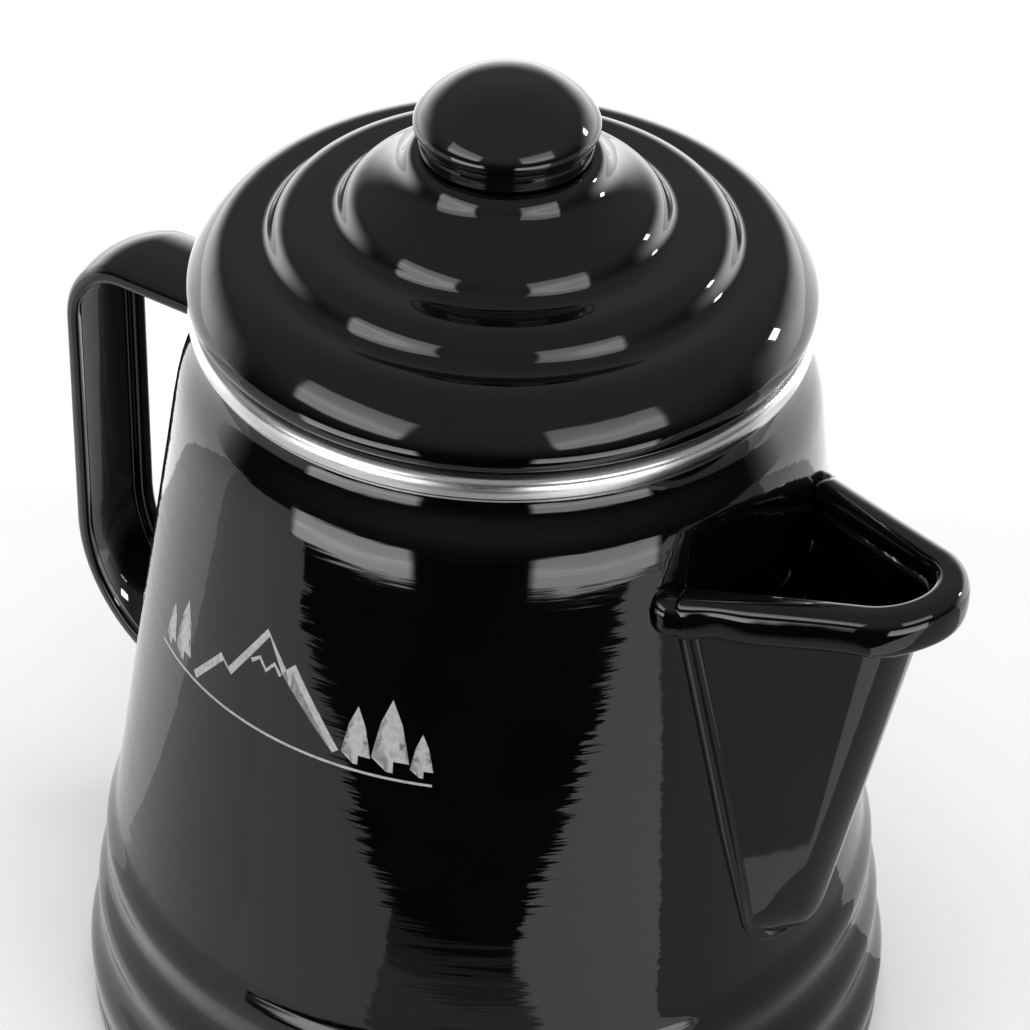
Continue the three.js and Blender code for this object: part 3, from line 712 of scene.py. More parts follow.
def make_print():
    """Off-white fired print: a mountain ridge between pines over a ground line, as flat
    shapes sliced finely and laid round the wall."""
    ink = Shader("print_ink", IOR=1.5)
    wear = ink.noise(ink.place, 900, 4)
    ink.blend_colours(wear, (0.36, 0.36, 0.35), (0.46, 0.46, 0.45))
    ink.roughen(wear, 0.25, 0.4)
    outlines = [stroke(RIDGE, 1.5), stroke(SNOW, 0.8), stroke(GROUND, 0.5)]
    outlines += [pine(*place) for place in PINES]
    shape = bmesh.new()
    for outline in outlines:
        shape.faces.new([shape.verts.new((x, y, PRINT_PROUD)) for x, y in outline])
    bmesh.ops.triangulate(shape, faces=shape.faces[:])
    reach = GROUND[1][0]
    for across in np.arange(-reach, reach, PRINT_SLICE):
        everything = shape.verts[:] + shape.edges[:] + shape.faces[:]
        bmesh.ops.bisect_plane(shape, geom=everything, plane_co=(across, 0, 0), plane_no=(1, 0, 0))
    for item in bmesh.ops.extrude_face_region(shape, geom=shape.faces[:])["geom"]:
        if isinstance(item, bmesh.types.BMVert):
            item.co.z = -PRINT_PROUD
    shape.verts.index_update()
    flat = np.array([vertex.co for vertex in shape.verts])
    faces = [[vertex.index for vertex in face.verts] for face in shape.faces]
    shape.free()
    radius = float(wall_radius(PRINT_BASE))
    places = wall_point(PRINT_ANGLE + flat[:, 0] / radius, PRINT_BASE + flat[:, 1], -flat[:, 2])
    mark = add_mesh("wall_print", places, faces, ink.material)
    mark.data.set_sharp_from_angle(angle=math.radians(40))
    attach(mark, BODY_OF["pot_body"])


# ---- Spout ----

NOSE_SHARE = 0.42  # share of the sheet's half outline that lies on the nose's arc
BITE = 0.6  # how far welded edges run into the wall's thickness
FOOT_SHARES = (0, 0.002, 0.006, 0.012, 0.02, 0.03, 0.042, 0.056, 0.072)  # close rows at its foot
BEAD_LUMP = 0.35  # height of the lumps where enamel has run near the rolled edge's corners
BEAD_WAVE = 0.12  # and of the unevenness all along it
FLANGE_RISE = 30.0  # height over which the flange grows from its smallest to its full size
FLANGE_THICK = (0.5, 0.9)
FLANGE_WIDE = (1.3, 2.7)
FLANGE_PROFILE = (  # shares of the flange's width and thickness, from its bend outwards
    (0.7, 1.0), (0.85, 0.93), (0.94, 0.75), (0.99, 0.45), (1.0, 0.1), (1.0, -0.6),
)
WELD_VOXEL = 0.35
WELD_BALLS = (  # (x, y, z, radius) of the balls of a weld, from the rolled edge's end
    (0.2, 0.5, -1.8, 3.5), (0.2, 0.5, 0.1, 3.5), (2.4, -0.8, -1.6, 3.7), (2.4, -0.8, 0.1, 3.6),
    (-0.8, 1.3, 1.4, 2.0),
)


def spout_edge(x):
    """Height of the spout's upper edge at a distance from the pot's axis."""
    slope = (SPOUT_TIP[2] - SPOUT_CORNER[2]) / (SPOUT_TIP[0] - SPOUT_CORNER[0])
    return SPOUT_CORNER[2] + slope * (x - SPOUT_CORNER[0])


def fold(side, height, inset):
    """Place (x, y) on the folded sheet: side runs from -1 at one wall root over 0 at the nose
    to 1 at the other root. Inset moves the place towards the spout's inside."""
    side = np.asarray(side, float)
    height = np.maximum(height, SPOUT_BOTTOM + 1e-4)
    up = (height - SPOUT_BOTTOM) / (SPOUT_TIP[2] - SPOUT_BOTTOM)
    near_foot = np.minimum((height - SPOUT_BOTTOM) / SPOUT_FOOT_HEIGHT, 1)
    roundness = np.sqrt(1 - (1 - near_foot)**2)
    top_width = SPOUT_CORNER[1] - SPOUT_ROLL_OUT
    half_width = roundness * (SPOUT_FOOT_WIDTH + up * (top_width - SPOUT_FOOT_WIDTH))
    nose_radius = roundness * (SPOUT_NOSE_LOW + up * (SPOUT_NOSE_HIGH - SPOUT_NOSE_LOW))
    foot_x = cone_radius(SPOUT_BOTTOM) + BITE + roundness * SPOUT_FOOT_PROUD
    nose_x = foot_x + up * (SPOUT_TIP[0] - SPOUT_ROLL_OUT - foot_x)
    centre_x = nose_x - nose_radius
    root_x = np.sqrt(wall_radius(height)**2 - half_width**2)
    reach_x = root_x - centre_x
    reach = np.hypot(reach_x, half_width)
    angle = np.arctan2(half_width, reach_x) - np.arccos(np.clip(nose_radius / reach, -1, 1))
    share = np.abs(side)
    on_nose = np.minimum(share / NOSE_SHARE, 1) * angle
    arm = nose_radius - inset
    nose_point = np.stack([centre_x + arm * np.cos(on_nose), arm * np.sin(on_nose)], -1)
    end = np.stack([root_x - inset * np.cos(angle), half_width - inset * np.sin(angle)], -1)
    towards = end - nose_point
    length = np.maximum(np.linalg.norm(towards, axis=-1, keepdims=True), 1e-6)
    end = end + towards / length * BITE
    straight = np.clip((share - NOSE_SHARE) / (1 - NOSE_SHARE), 0, 1)[..., None]
    point = nose_point + straight * (end - nose_point)
    point[..., 1] *= np.where(side < 0, -1, 1)
    return point


def fold_out(side, height):
    """Unit direction (x, y) square to the folded sheet, away from the spout's inside."""
    return unit(fold(side, height, 0.0) - fold(side, height, 1.0))


def fold_row(side, height, inset):
    """Points of the folded sheet at these sides and heights."""
    return np.concatenate([fold(side, height, inset), height[:, None]], axis=1)


def fold_level(side, share, inset):
    """Height at which a share of the way from the spout's bottom to its edge is reached."""
    height = SPOUT_BOTTOM + share * (SPOUT_CORNER[2] - SPOUT_BOTTOM) * np.ones_like(side)
    for _ in range(6):
        x = fold(side, height, inset)[..., 0]
        height = SPOUT_BOTTOM + share * (spout_edge(x) - SPOUT_BOTTOM)
    return height


def squared(turn, exponent):
    """Point (across, up) of a unit circle pushed out towards a square."""
    across, up = math.cos(turn), math.sin(turn)
    power = 2 / exponent
    return math.copysign(abs(across)**power, across), math.copysign(abs(up)**power, up)


def spout_bead(side, edge_height):
    """Rows of the rolled edge, from under its outer side over the top to its inside. It is
    lumpy where enamel has run near the welded corners."""
    centre = fold(side, edge_height, -SPOUT_ROLL_OUT)
    out = fold_out(side, edge_height)
    near_corner = np.clip((np.abs(side) - 0.55) / 0.45, 0, 1)
    run = BEAD_LUMP * near_corner**2 * np.sin(31 * side) + BEAD_WAVE * np.sin(17 * side + 1)
    start = math.acos((SPOUT_ROLL_OUT / SPOUT_BEAD)**(SPOUT_BEAD_SQUARE / 2)) - math.pi
    rows = []
    for turn in np.linspace(start, math.pi, 44):
        swell = run * max(0, math.cos(turn + 0.6))**2
        across, up = squared(turn, SPOUT_BEAD_SQUARE)
        place = centre + ((SPOUT_BEAD + swell) * across)[:, None] * out
        lift = SPOUT_BEAD - SPOUT_BEAD_TALL + (SPOUT_BEAD_TALL + swell) * up
        rows.append(np.concatenate([place, (edge_height + lift)[:, None]], axis=1))
    return rows


def spout_rows():
    """Rows of points from the spout's bottom up its outer face, round the rolled edge and
    down its inside."""
    side = np.concatenate([
        np.linspace(-1, -NOSE_SHARE, 34)[:-1], np.linspace(-NOSE_SHARE, NOSE_SHARE, 41),
        np.linspace(NOSE_SHARE, 1, 34)[1:],
    ])
    shares = np.concatenate([FOOT_SHARES, np.linspace(0, 1, 46)[4:]])
    edge_height = fold_level(side, 1.0, -SPOUT_ROLL_OUT)
    bead = spout_bead(side, edge_height)
    under = bead[0][:, 2]
    outer = []
    inner = []
    for share in shares:
        height = fold_level(side, share, 0.0)
        outer.append(fold_row(side, np.minimum(height, under - 0.35 - 0.02 * (1 - share)), 0.0))
        height = np.maximum(fold_level(side, share, SPOUT_INNER), SPOUT_BOTTOM + SPOUT_FLOOR)
        inner.append(fold_row(side, np.minimum(height, edge_height - 0.3), SPOUT_INNER))
    return outer + bead + inner[::-1]


def make_spout():
    rows = np.array(spout_rows())
    count, across = rows.shape[:2]
    faces = grid_faces(count, across, wrap_rows=True)
    for column in (0, across - 1):
        ring = [row * across + column for row in range(count)]
        for k in range(count // 2 - 1):
            faces.append((ring[k], ring[k + 1], ring[-2 - k], ring[-1 - k]))
    settle(add_mesh("spout_sheet", rows, faces, ENAMEL), "spout")


def footprint():
    """Places (angle, height) on the wall where the spout's sheet meets it, from corner to
    corner, evenly spaced."""
    under_bead = SPOUT_CORNER[2] - 3.2
    heights = SPOUT_BOTTOM + (under_bead - SPOUT_BOTTOM) * np.linspace(1, 0, 400)**2
    half = fold(np.ones_like(heights), heights, 0.0)
    points = np.stack([np.arctan2(half[:, 1], half[:, 0]), heights], axis=1)
    route = np.concatenate([points, points[-2::-1] * (-1, 1)])
    flat = route * (float(wall_radius(100)), 1)
    along = np.concatenate([[0], np.cumsum(np.linalg.norm(np.diff(flat, axis=0), axis=1))])
    even = np.linspace(0, along[-1], 260)
    return np.stack([np.interp(even, along, route[:, k]) for k in (0, 1)], axis=1)


def make_spout_flange():
    """Welded flange on the wall round the spout, with a soft bend into the spout's sheet."""
    angle, height = footprint().T
    root = wall_point(angle, height, 0.0)
    up = root - wall_point(angle, height, 1.0)
    out = np.cross(up, unit(np.gradient(root, axis=0)))
    just_off = fold_row(0.93 * np.sign(root[:, 1]), np.maximum(height, SPOUT_BOTTOM + 3), 0.0)
    leave = unit(just_off - root)
    rise = np.clip((height[:, None] - SPOUT_BOTTOM) / FLANGE_RISE, 0, 1)
    thickness, width = (low + (high - low) * rise for low, high in (FLANGE_THICK, FLANGE_WIDE))
    start = root + 1.2 * leave
    corner = root + 0.5 * thickness * up
    finish = root + 0.45 * width * out + thickness * up
    rows = [root + 0.8 * leave - BITE * out]
    for t in np.linspace(0, 1, 8):
        rows.append((1 - t)**2 * start + 2 * t * (1 - t) * corner + t**2 * finish)
    for reach, level in FLANGE_PROFILE:
        rows.append(root + reach * width * out + level * thickness * up)
    rows.append(root + 0.4 * out - BITE * up)
    rows.append(root - 0.4 * out - BITE * up)
    rings = np.swapaxes(rows, 0, 1)
    flange = add_mesh("spout_flange", rings, capped_faces(*rings.shape[:2]), ENAMEL)
    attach(flange, BODY_OF["spout"])


def melt(name, balls):
    """Overlapping balls, each (centre, radius), melted into one rounded lump of enamel."""
    shape = bmesh.new()
    for centre, radius in balls:
        place = Matrix.Translation(Vector(centre) * MM)
        bmesh.ops.create_icosphere(shape, subdivisions=3, radius=radius * MM, matrix=place)
    mesh = bpy.data.meshes.new(name)
    shape.to_mesh(mesh)
    shape.free()
    piece = add_piece(name, mesh, ENAMEL)
    remesh = piece.modifiers.new("melt", "REMESH")
    remesh.mode = "VOXEL"
    remesh.voxel_size = WELD_VOXEL * MM
    soften = piece.modifiers.new("soften", "SMOOTH")
    soften.factor = 0.6
    soften.iterations = 30
    apply_modifiers(piece)
    piece.data.shade_smooth()
    return piece


def make_spout_welds():
    """Lumpy welds where the rolled edge's ends are closed against the wall."""
    for name, side in (("spout_weld_left", -1), ("spout_weld_right", 1)):
        end = SPOUT_CORNER * (1, side, 1)
        weld = melt(name, [(end + (x, side * y, z), radius) for x, y, z, radius in WELD_BALLS])
        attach(weld, BODY_OF["spout"])


# ---- Handle ----

def arc_corner(start, corner, end, steps):
    """Points of a nearly circular bend from start to end round a corner."""
    pull = 0.552
    first = start + pull * (corner - start)
    second = end + pull * (corner - end)
    t = np.linspace(0, 1, steps)[:, None]
    u = 1 - t
    return u**3 * start + 3 * u**2 * t * first + 3 * u * t**2 * second + t**3 * end


def strap_route():
    """Outer face of the strap in the plane (distance from the axis, height)."""
    slope = (STRAP_TOP - STRAP_CORNER_Z) / (STRAP_REACH - NECK_RADIUS)
    top = np.array([STRAP_ROOT, STRAP_CORNER_Z + slope * (STRAP_REACH - STRAP_ROOT)])
    corner = np.array([STRAP_REACH, STRAP_CORNER_Z])
    bend_start = corner + unit(top - corner) * STRAP_UPPER_BEND
    upright_top = corner - (0, STRAP_UPPER_BEND)
    low_corner = np.array([STRAP_REACH, STRAP_BOTTOM])
    upright_bottom = low_corner + (0, STRAP_LOWER_BEND)
    low_end = low_corner - (STRAP_LOWER_BEND, 0)
    return np.concatenate([
        np.linspace(top, bend_start, 14)[:-1],
        arc_corner(bend_start, corner, upright_top, 30)[:-1],
        np.linspace(upright_top, upright_bottom, 16)[:-1],
        arc_corner(upright_bottom, low_corner, low_end, 36),
    ])


def strap_section():
    """Channel section: crowned outer face and edges rolled over towards the inside."""
    half = STRAP_WIDTH / 2
    inside = half - STRAP_ROLL
    corners = [
        (half, 0, 1.6), (half, STRAP_DEPTH, 1.5), (inside, STRAP_DEPTH, 1.2),
        (inside, ENAMEL_SHEET, 0.7),
    ]
    mirrored = [(-x, y, ease) for x, y, ease in corners[::-1]]
    section = evened(rounded(corners + mirrored, 8), 0.7)
    section[:, 1] += STRAP_CROWN * ((section[:, 0] / half)**2 - 1)
    return section


def make_handle_strap():
    route = strap_route()
    inward = outward_normals(route)
    section = strap_section()
    place = route[:, None, :] + section[None, :, 1:] * inward[:, None, :]
    across = np.broadcast_to(section[:, 0], place.shape[:2])
    rows = np.stack([-place[..., 0], across, place[..., 1]], axis=-1)
    for end in (rows[0], rows[-1]):
        radius = wall_radius(end[:, 2]) + FOOT_THICKNESS - 0.5
        end[:, 0] = -np.sqrt(radius**2 - end[:, 1]**2)
    strap = add_mesh("handle_channel", rows, capped_faces(*rows.shape[:2]), ENAMEL)
    settle(strap, "handle_strap")


def make_handle_foot(node, name):
    """Rounded pad that follows the wall, between it and one end of the strap."""
    low, high = node_box(node)
    middle = (low[2] + high[2]) / 2
    tall = (high[2] - low[2]) / 2
    wide = high[1]
    outline = supported(rounded([(wide, -tall, FOOT_CORNER), (wide, tall, FOOT_CORNER),
                                 (-wide, tall, FOOT_CORNER), (-wide, -tall, FOOT_CORNER)], 10), 0.8)
    rows = []
    for share, rise in FOOT_PROFILE:
        across = share * outline[:, 0] / float(wall_radius(middle))
        height = middle + share * outline[:, 1]
        rows.append(wall_point(math.pi + across, height, -FOOT_THICKNESS * rise))
    foot = add_mesh(name, rows, capped_faces(len(rows), len(outline)), ENAMEL)
    settle(foot, node)


# ---- Lid ----

# Outer face from the rolled edge over two stepped rings and the dome to the knob's boss,
# as (radius, height above the seat).
LID_FACE = [
    (55.6, 0.45), (57.2, 1.5), (57.6, 3), (57.15, 4.9), (56.1, 6.8), (54.7, 8.8), (53, 10.6),
    (51, 12), (48.8, 12.6), (46.8, 12.7), (45.2, 12.6), (44.1, 12.7), (43.1, 13.2), (42.4, 14.1),
    (41.8, 15.1), (41, 16.2), (39.9, 17), (38.2, 17.6), (35.2, 17.8), (33, 17.8), (31.7, 17.9),
    (30.7, 18.3), (29.9, 19.1), (29.3, 20.2), (28.6, 21.3), (27.7, 22.3), (26.3, 23.2), (24.2, 24.2),
    (21.8, 25.5), (20, 26.8), (18.9, 28.1), (18.2, 29.4), (17.6, 30.3), (16.8, 30.9), (15, 31),
    (11, 31.05), (7, 31), (SCREW_HOLE, 31),
]


def make_lid_shell():
    face = smooth_curve([(radius, SEAT + height) for radius, height in LID_FACE], 0.3)
    outline = sheet_outline(softened(face, 8), ENAMEL_SHEET)
    settle(turned("lid_cover", outline, ENAMEL), "lid_shell")


def make_lid_collar():
    bottom, _, radius = node_span("lid_collar")
    face = smooth_curve([(radius - 0.9, bottom + 0.4), (radius, bottom + 1.8), (radius, bottom + 9),
                         (radius, SEAT + 5.6), (51, SEAT + 8.8), (48.8, SEAT + 10.5),
                         (45.4, SEAT + 10.9)], 0.4)
    settle(turned("lid_skirt", sheet_outline(face, 0.8), ENAMEL), "lid_collar")


def make_lid_knob():
    """Domed knob with a lip over a plain band, open underneath for its gasket and insert."""
    bottom, top, _ = node_span("lid_knob")
    gasket = node_span("knob_gasket")[2] + 0.3
    bore = node_span("knob_insert")[2] + 0.3
    band = [(15.3, 0), (15.7, 0.2), (15.8, 0.8), (15.8, 2.2), (15.85, 3.3), (16.2, 3.95)]
    dome = [(16.62, 4.5), (16.75, 5.2), (16.6, 6.1), (16.1, 7.1), (15.2, 8.3), (14, 9.6),
            (12.2, 11.1), (10, 12.5), (7.5, 13.6), (5, 14.25), (2.5, 14.6), (0, top - bottom)]
    face = smooth_curve(band + dome, 0.25)
    face[-1, 0] = 0
    inside = rounded([(0, 9, 0), (bore, 9, 0.4), (bore, 0, 0), (gasket, 0, 0.2)], 4)
    outline = np.concatenate([face, inside[:-1] + (0, KNOB_RECESS), [[gasket, 0]]]) + (0, bottom)
    settle(turned("knob_head", outline, KNOB_BLACK), "lid_knob")


def steel_piece(name, node, outline):
    """Small steel piece turned from its outline."""
    settle(turned(name, outline, INSERT_STEEL, SIDES_SMALL), node)


def make_ring(name, node, inner, eases, material):
    """Plain turned ring as large as its node. Its corners are rounded in the order lower inner,
    lower outer, upper outer, upper inner."""
    bottom, top, outer = node_span(node)
    corners = [(inner, bottom), (outer, bottom), (outer, top), (inner, top)]
    outline = rounded([(*corner, ease) for corner, ease in zip(corners, eases)])
    settle(turned(name, outline, material, SIDES_SMALL), node)


def make_knob_insert():
    """Brass bush with knurled grooves that hold it in the knob."""
    bottom, top, radius = node_span("knob_insert")
    grooves = []
    for k in range(10):
        inset = 0.35 if k % 4 in (1, 2) else 0
        grooves.append((radius - inset, bottom + 1.2 * (1 + k // 2) + 0.5 * (k % 2), 0.15))
    outline = rounded([(SCREW_BORE, bottom, 0.2), (radius, bottom, 0.3)] + grooves
                      + [(radius, top, 0.3), (SCREW_BORE, top, 0.2)], 3)
    settle(turned("insert_bush", outline, BRASS, SIDES_SMALL), "knob_insert")


def make_knob_screw():
    """Slotted screw that holds the knob from inside the lid."""
    bottom, top, head = node_span("knob_screw")
    head_top = node_span("screw_washer")[0] - 0.3
    shank = 2.0
    pitch = 0.7
    thread = []
    for k in range(int((top - head_top - 2) / pitch)):
        level = head_top + 1.2 + pitch * k
        thread += [(shank, level, 0.1), (shank - 0.28, level + pitch / 2, 0.1)]
    outline = rounded([(0, bottom, 0), (head * 0.6, bottom, 1.2), (head, bottom + 1.1, 0.8),
                       (head, head_top, 0.2), (shank, head_top, 0.2)] + thread
                      + [(shank, top - 0.5, 0.2), (shank - 0.5, top, 0.2), (0, top, 0)], 4)
    screw = turned("screw_body", outline, INSERT_STEEL, SIDES_SMALL)
    corners = [(x, y, z) for z in (bottom - 1, bottom + 1) for x, y in
               ((-6, -0.5), (6, -0.5), (6, 0.5), (-6, 0.5))]
    cut(screw, [(corners, capped_faces(2, 4))], 30)
    settle(screw, "knob_screw")


def make_small_parts():
    """Gasket, insert, washer and screw that hold the knob on the lid."""
    make_ring("gasket_ring", "knob_gasket", SCREW_BORE, (0.2, 0.35, 0.35, 0.2), RUBBER)
    make_knob_insert()
    washer_eases = (0.15, 0.3, 0.15, 0.15)
    make_ring("washer_disc", "screw_washer", SCREW_BORE, washer_eases, INSERT_STEEL)
    make_knob_screw()


# ---- Brewing insert ----

def make_riser():
    """Pipe with its foot bell and the pressed collar that carries the basket."""
    pipe_inner = node_span("riser_tube")[2] - 1
    make_ring("riser_pipe", "riser_tube", pipe_inner, (0.25,) * 4, INSERT_STEEL)
    bottom, top, wide = node_span("basket_stop")
    bore = 5.3
    stop = rounded([(bore, bottom, 0.3), (bore + 1.3, bottom, 0.5), (bore + 1.6, top - 1.4, 0.8),
                    (wide, top - 1, 0.5), (wide, top, 0.5), (bore, top, 0.3)])
    steel_piece("riser_stop", "basket_stop", stop)
    low, high, radius = node_span("riser_bell")
    face = smooth_curve([(radius, low + 0.4), (radius - 0.2, low + 2.4), (radius - 2.6, low + 4.6),
                         (26, low + 7.6), (17, low + 10.6), (10, low + 14), (6.9, low + 18),
                         (6, high)], 0.5)
    bell = turned("riser_foot", sheet_outline(softened(face, 4), 0.7), INSERT_STEEL)
    angles = [math.pi / 2 * (k + 0.5) for k in range(4)]
    cut(bell, [drill(3.2, radius * math.cos(a), radius * math.sin(a), low - 2, low + 2.6, 32)
               for a in angles], 35)
    settle(bell, "riser_bell")


def make_basket():
    """Deep cup with a rolled rim and a perforated floor, round a central sleeve."""
    bottom, top, rim = node_span("basket_cup")
    outer = 45.0
    sheet = 0.7
    hole = 6.5
    outline = rounded([
        (hole, bottom, 0.3), (outer, bottom, 6), (outer, top - 2.4, 0.6), (rim, top - 2.2, 0.9),
        (rim, top, 0.9), (outer - 0.2, top, 0.9), (outer - sheet, top - 1.4, 0.5),
        (outer - sheet, bottom + sheet, 5.4), (hole, bottom + sheet, 0.3),
    ], 8)
    cup = turned("basket_body", outline, INSERT_STEEL)
    circles = [(12.5, 14), (17, 20), (21.5, 26), (26, 32), (30.5, 38), (35, 44)]
    cut(cup, drill_circles(circles, SIEVE_HOLE, bottom - 1, bottom + 1.6), 35)
    settle(cup, "basket_cup")
    low, high, sleeve = node_span("basket_sleeve")
    post = rounded([(SLEEVE_BORE, low, 0.2), (sleeve, low, 0.4), (sleeve, low + 1, 0.3),
                    (6.3, low + 1.6, 0.5), (6.2, high, 0.3), (SLEEVE_BORE, high, 0.3)])
    steel_piece("basket_post", "basket_sleeve", post)


def make_spreader():
    """Dished, perforated cover over the basket, round its own sleeve."""
    bottom, top, rim = node_span("cover_plate")
    face = smooth_curve([(rim, top - 1.3), (rim - 0.5, top - 0.35), (rim - 1.6, top),
                         (rim - 3.2, top - 0.5), (rim - 6, bottom + 1.0), (33, bottom + 0.8),
                         (20, bottom + 0.75), (10.6, bottom + 0.7), (6.6, bottom + 0.7)], 0.5)
    plate = turned("cover_disc", sheet_outline(softened(face, 3), 0.6), INSERT_STEEL)
    circles = [(13, 12), (17.5, 18), (22, 24), (26.5, 30), (31, 36), (35.5, 42)]
    cut(plate, drill_circles(circles, SIEVE_HOLE, bottom - 2, top + 1), 35)
    settle(plate, "cover_plate")
    low, high, flange = node_span("cover_sleeve")
    level = bottom + 0.9
    post = rounded([(SLEEVE_BORE, low, 0.2), (6.2, low, 0.2), (6.2, level, 0.2),
                    (flange, level, 0.3), (flange, level + 0.7, 0.3), (6.6, level + 0.9, 0.4),
                    (6.2, high, 0.3), (SLEEVE_BORE, high, 0.3)])
    steel_piece("cover_post", "cover_sleeve", post)


# ---- Studio ----

VIEW_TURN = math.radians(38.05)  # camera's turn about the pot's axis from looking along +Y
VIEW_PITCH = math.radians(36.745)
VIEW_ROLL = math.radians(1.654)
CAMERA_PLACE = (0.3597, -0.4541, 0.5474)  # metres

# Each panel: degrees to the right and up, then distance, width and height, then the glow at
# its top and bottom. Only the gloss sees the table boxes.
SOFTBOXES = {
    "softbox_left": (-53, 29, 1500, 1120, 560, 2.4, 4.2),
    "softbox_right": (39, 30, 1500, 1040, 560, 2.2, 3.8),
    "lamp_right": (114, 17, 1700, 150, 190, 45, 45),
}
TABLE_BOXES = {
    "table_box_left": (-45, -5, 450, 345, 158, 4.4, 4.8),
    "table_box_right": (31, -5, 450, 345, 158, 3.6, 4.2),
}

# Cards just over the floor that glow and that only the gloss sees: painted reflections of the floor.
# The dark card ends the white table in front of the pot, as in a studio where the table's edge is
# near; the grey cards are painted shade of the floor round the pot; the white card behind is a
# painted bright floor.
FLOOR_CARDS = {  # strength and outline (right, away) of each card
    "dark_card": (0.01, [(-305, -183), (-189, -224), (-87, -205), (24, -205), (44, -231),
                         (123, -275), (235, -305), (600, -470), (1600, -1000), (1600, -2500),
                         (-1600, -2500), (-1600, -700)]),
    "grey_card_front": (0.18, [(-87, -205), (24, -205), (32, -184), (-80, -184)]),
    "grey_card_near": (0.36, [(-80, -184), (32, -184), (58, -100), (62, -58), (54, -48),
                              (28, -68), (0, -73), (-40, -64), (-65, -100)]),
    "grey_card_right": (0.38, [(58, -100), (146, -154), (295, -242), (2500, -1400), (2500, 150),
                               (140, 20), (80, 0)]),
    "grey_card_left": (0.72, [(-80, -184), (-87, -205), (-189, -224), (-305, -183),
                              (-1600, -690), (-1600, 0), (-120, 0), (-95, -75), (-65, -100)]),
    "white_card_back": (1.9, [(-1600, 160), (1600, 160), (1600, 1600), (-1600, 1600)]),
    "grey_card_far_left": (0.66, [(-120, -60), (-165, -95), (-238, -100), (-330, -60),
                                 (-1600, -200), (-1600, 60), (-120, 30)]),
}


def studio_point(right, away, height):
    """Row frame metres from millimetres to the right, away from the camera and up."""
    x = right * math.cos(VIEW_TURN) - away * math.sin(VIEW_TURN)
    y = right * math.sin(VIEW_TURN) + away * math.cos(VIEW_TURN)
    return Vector((x, y, height)) * MM


def add_stage(name, corners, material, only_reflected=False):
    """Flat studio surface through corners in metres."""
    mesh = bpy.data.meshes.new(name)
    mesh.from_pydata([tuple(corner) for corner in corners], [], [tuple(range(len(corners)))])
    card = add_piece(name, mesh, material)
    if only_reflected:
        card.visible_camera = False
        card.visible_diffuse = False
        card.visible_shadow = False
        card.visible_transmission = False
    return card


def panel_glow(name, top, bottom):
    """Glow of a softbox: a level at its top and bottom, a bright line and soft edges."""
    glow = Glow(name)
    x, y, _ = glow.add("SeparateXYZ", Vector=glow.add("TexCoord").outputs["Object"]).outputs
    strength = glow.remap(y, -1, 1, bottom, top)
    from_line = glow.math("ABSOLUTE", glow.math("ADD", y, 0.25))
    for factor in (
        glow.remap(from_line, 0, 0.3, 1.25, 0.95),
        glow.remap(glow.math("ABSOLUTE", x), 0.86, 1, 1, 0.15),
        glow.remap(glow.math("ABSOLUTE", y), 0.8, 1, 1, 0.15),
    ):
        strength = glow.math("MULTIPLY", strength, factor)
    glow.fill(glow.light, Strength=strength)
    return glow.material


def softbox(name, azimuth, elevation, distance, width, height, top, bottom, only_reflected=False):
    """Panel that faces the pot; azimuth is to the right of the camera's side, in degrees."""
    turn, lift = math.radians(azimuth), math.radians(elevation)
    level = math.cos(lift)
    back = Vector((math.sin(turn) * level, -math.cos(turn) * level, math.sin(lift)))
    centre = Vector((0, 0, 120)) + distance * back
    across = Vector((math.cos(turn), math.sin(turn), 0))
    upward = back.cross(across)
    glow = panel_glow(name + "_glow", top, bottom)
    corners = [(-1, -1, 0), (1, -1, 0), (1, 1, 0), (-1, 1, 0)]
    panel = add_stage(name, corners, glow, only_reflected)
    axes = [studio_point(*axis) for axis in (across * width / 2, upward * height / 2, back)]
    panel.matrix_world = Matrix([[*row, place] for row, place in
                                 zip(zip(*axes), studio_point(*centre))] + [[0, 0, 0, 1]])
    panel.visible_camera = False


def make_floor():
    floor = Shader("pale_floor", IOR=1.45, Specular_IOR_Level=0.2)
    floor.blend_colours(floor.noise(floor.place, 3, 2), (0.84, 0.84, 0.84), (0.87, 0.87, 0.87))
    floor.roughen(floor.noise(floor.place, 40, 2), 0.6, 0.75)
    reach = 1500
    corners = ((-reach, -reach), (reach, -reach), (reach, reach), (-reach, reach))
    add_stage("floor", [studio_point(x, y, 0) for x, y in corners], floor.material)


def make_floor_cards():
    """Lays the cards just over the floor, each a little higher than the one before."""
    for level, (name, (strength, outline)) in enumerate(FLOOR_CARDS.items()):
        corners = [studio_point(x, y, 0.3 + 0.1 * level) for x, y in outline]
        # Each card glows at its listed level, a painted reflection of the floor's shade or
        # brightness that only the gloss sees.
        add_stage(name, corners, Glow(name + "_tone", strength).material, only_reflected=True)


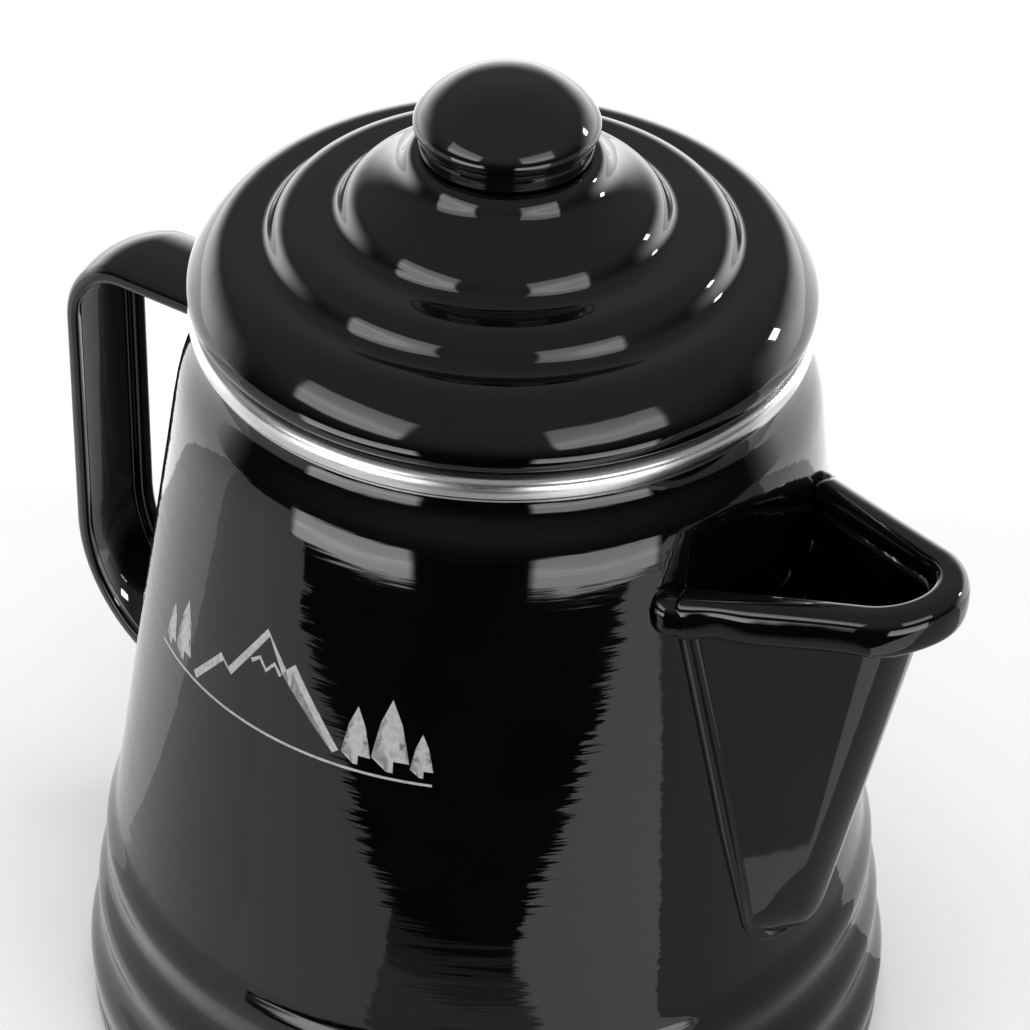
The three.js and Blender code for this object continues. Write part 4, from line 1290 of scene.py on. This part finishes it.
def make_world():
    """White walls beside and behind the pot, a dim room in front of it and overhead."""
    world = bpy.data.worlds.new("studio")
    bpy.context.scene.world = world
    sky = Nodes(world)
    direction = sky.add("TexCoord").outputs["Generated"]

    def facing(axis, *ramp):
        """Level that changes with how far the direction points along an axis."""
        return sky.remap(sky.math("DOT_PRODUCT", direction, axis, kind="VectorMath"), *ramp)

    behind = facing(studio_point(0, 1000, 0).normalized(), 0.0, 0.6, 0, 3)
    below_top = facing((0, 0, 1), -0.05, 0.4, 1, 0)
    room = facing((0, 0, 1), 0.0, 0.6, 0.03, 0.32)
    reflected = sky.math("ADD", sky.math("MULTIPLY", behind, below_top), room)
    seen = sky.add("LightPath").outputs["Is Camera Ray"]
    strength = sky.add("Mix", Factor=seen, A=reflected, B=1).outputs["Result"]
    sky.fill(sky.nodes["Background"], Color=(1, 1, 1, 1), Strength=strength)


def make_lights():
    for name, panel in SOFTBOXES.items():
        softbox(name, *panel)
    for name, panel in TABLE_BOXES.items():
        softbox(name, *panel, only_reflected=True)
    overhead = bpy.data.lights.new("overhead", "AREA")
    overhead.shape = "RECTANGLE"
    overhead.size = 3
    overhead.size_y = 3
    overhead.energy = 66
    top = add_object("overhead", overhead)
    top.location = (0, 0, 2.6)
    top.visible_glossy = False


def make_camera():
    lens = bpy.data.cameras.new("camera")
    lens.sensor_width = 36
    lens.lens = 132.8
    lens.clip_start = 0.05
    camera = add_object("camera", lens)
    turn = Matrix.Rotation(VIEW_TURN, 4, "Z")
    pitch = Matrix.Rotation(math.pi / 2 - VIEW_PITCH, 4, "X")
    roll = Matrix.Rotation(VIEW_ROLL, 4, "Z")
    camera.matrix_world = Matrix.Translation(CAMERA_PLACE) @ turn @ pitch @ roll
    bpy.context.scene.camera = camera


make_pot_body()
make_pot_base()
make_mouth_rim()
make_print()
make_spout()
make_spout_flange()
make_spout_welds()
make_handle_strap()
make_handle_foot("handle_upper_foot", "handle_pad_upper")
make_handle_foot("handle_lower_foot", "handle_pad_lower")
make_lid_shell()
make_lid_collar()
make_lid_knob()
make_small_parts()
make_riser()
make_basket()
make_spreader()
make_floor()
make_floor_cards()
make_world()
make_lights()
make_camera()
bpy.context.scene.view_settings.view_transform = "Standard"
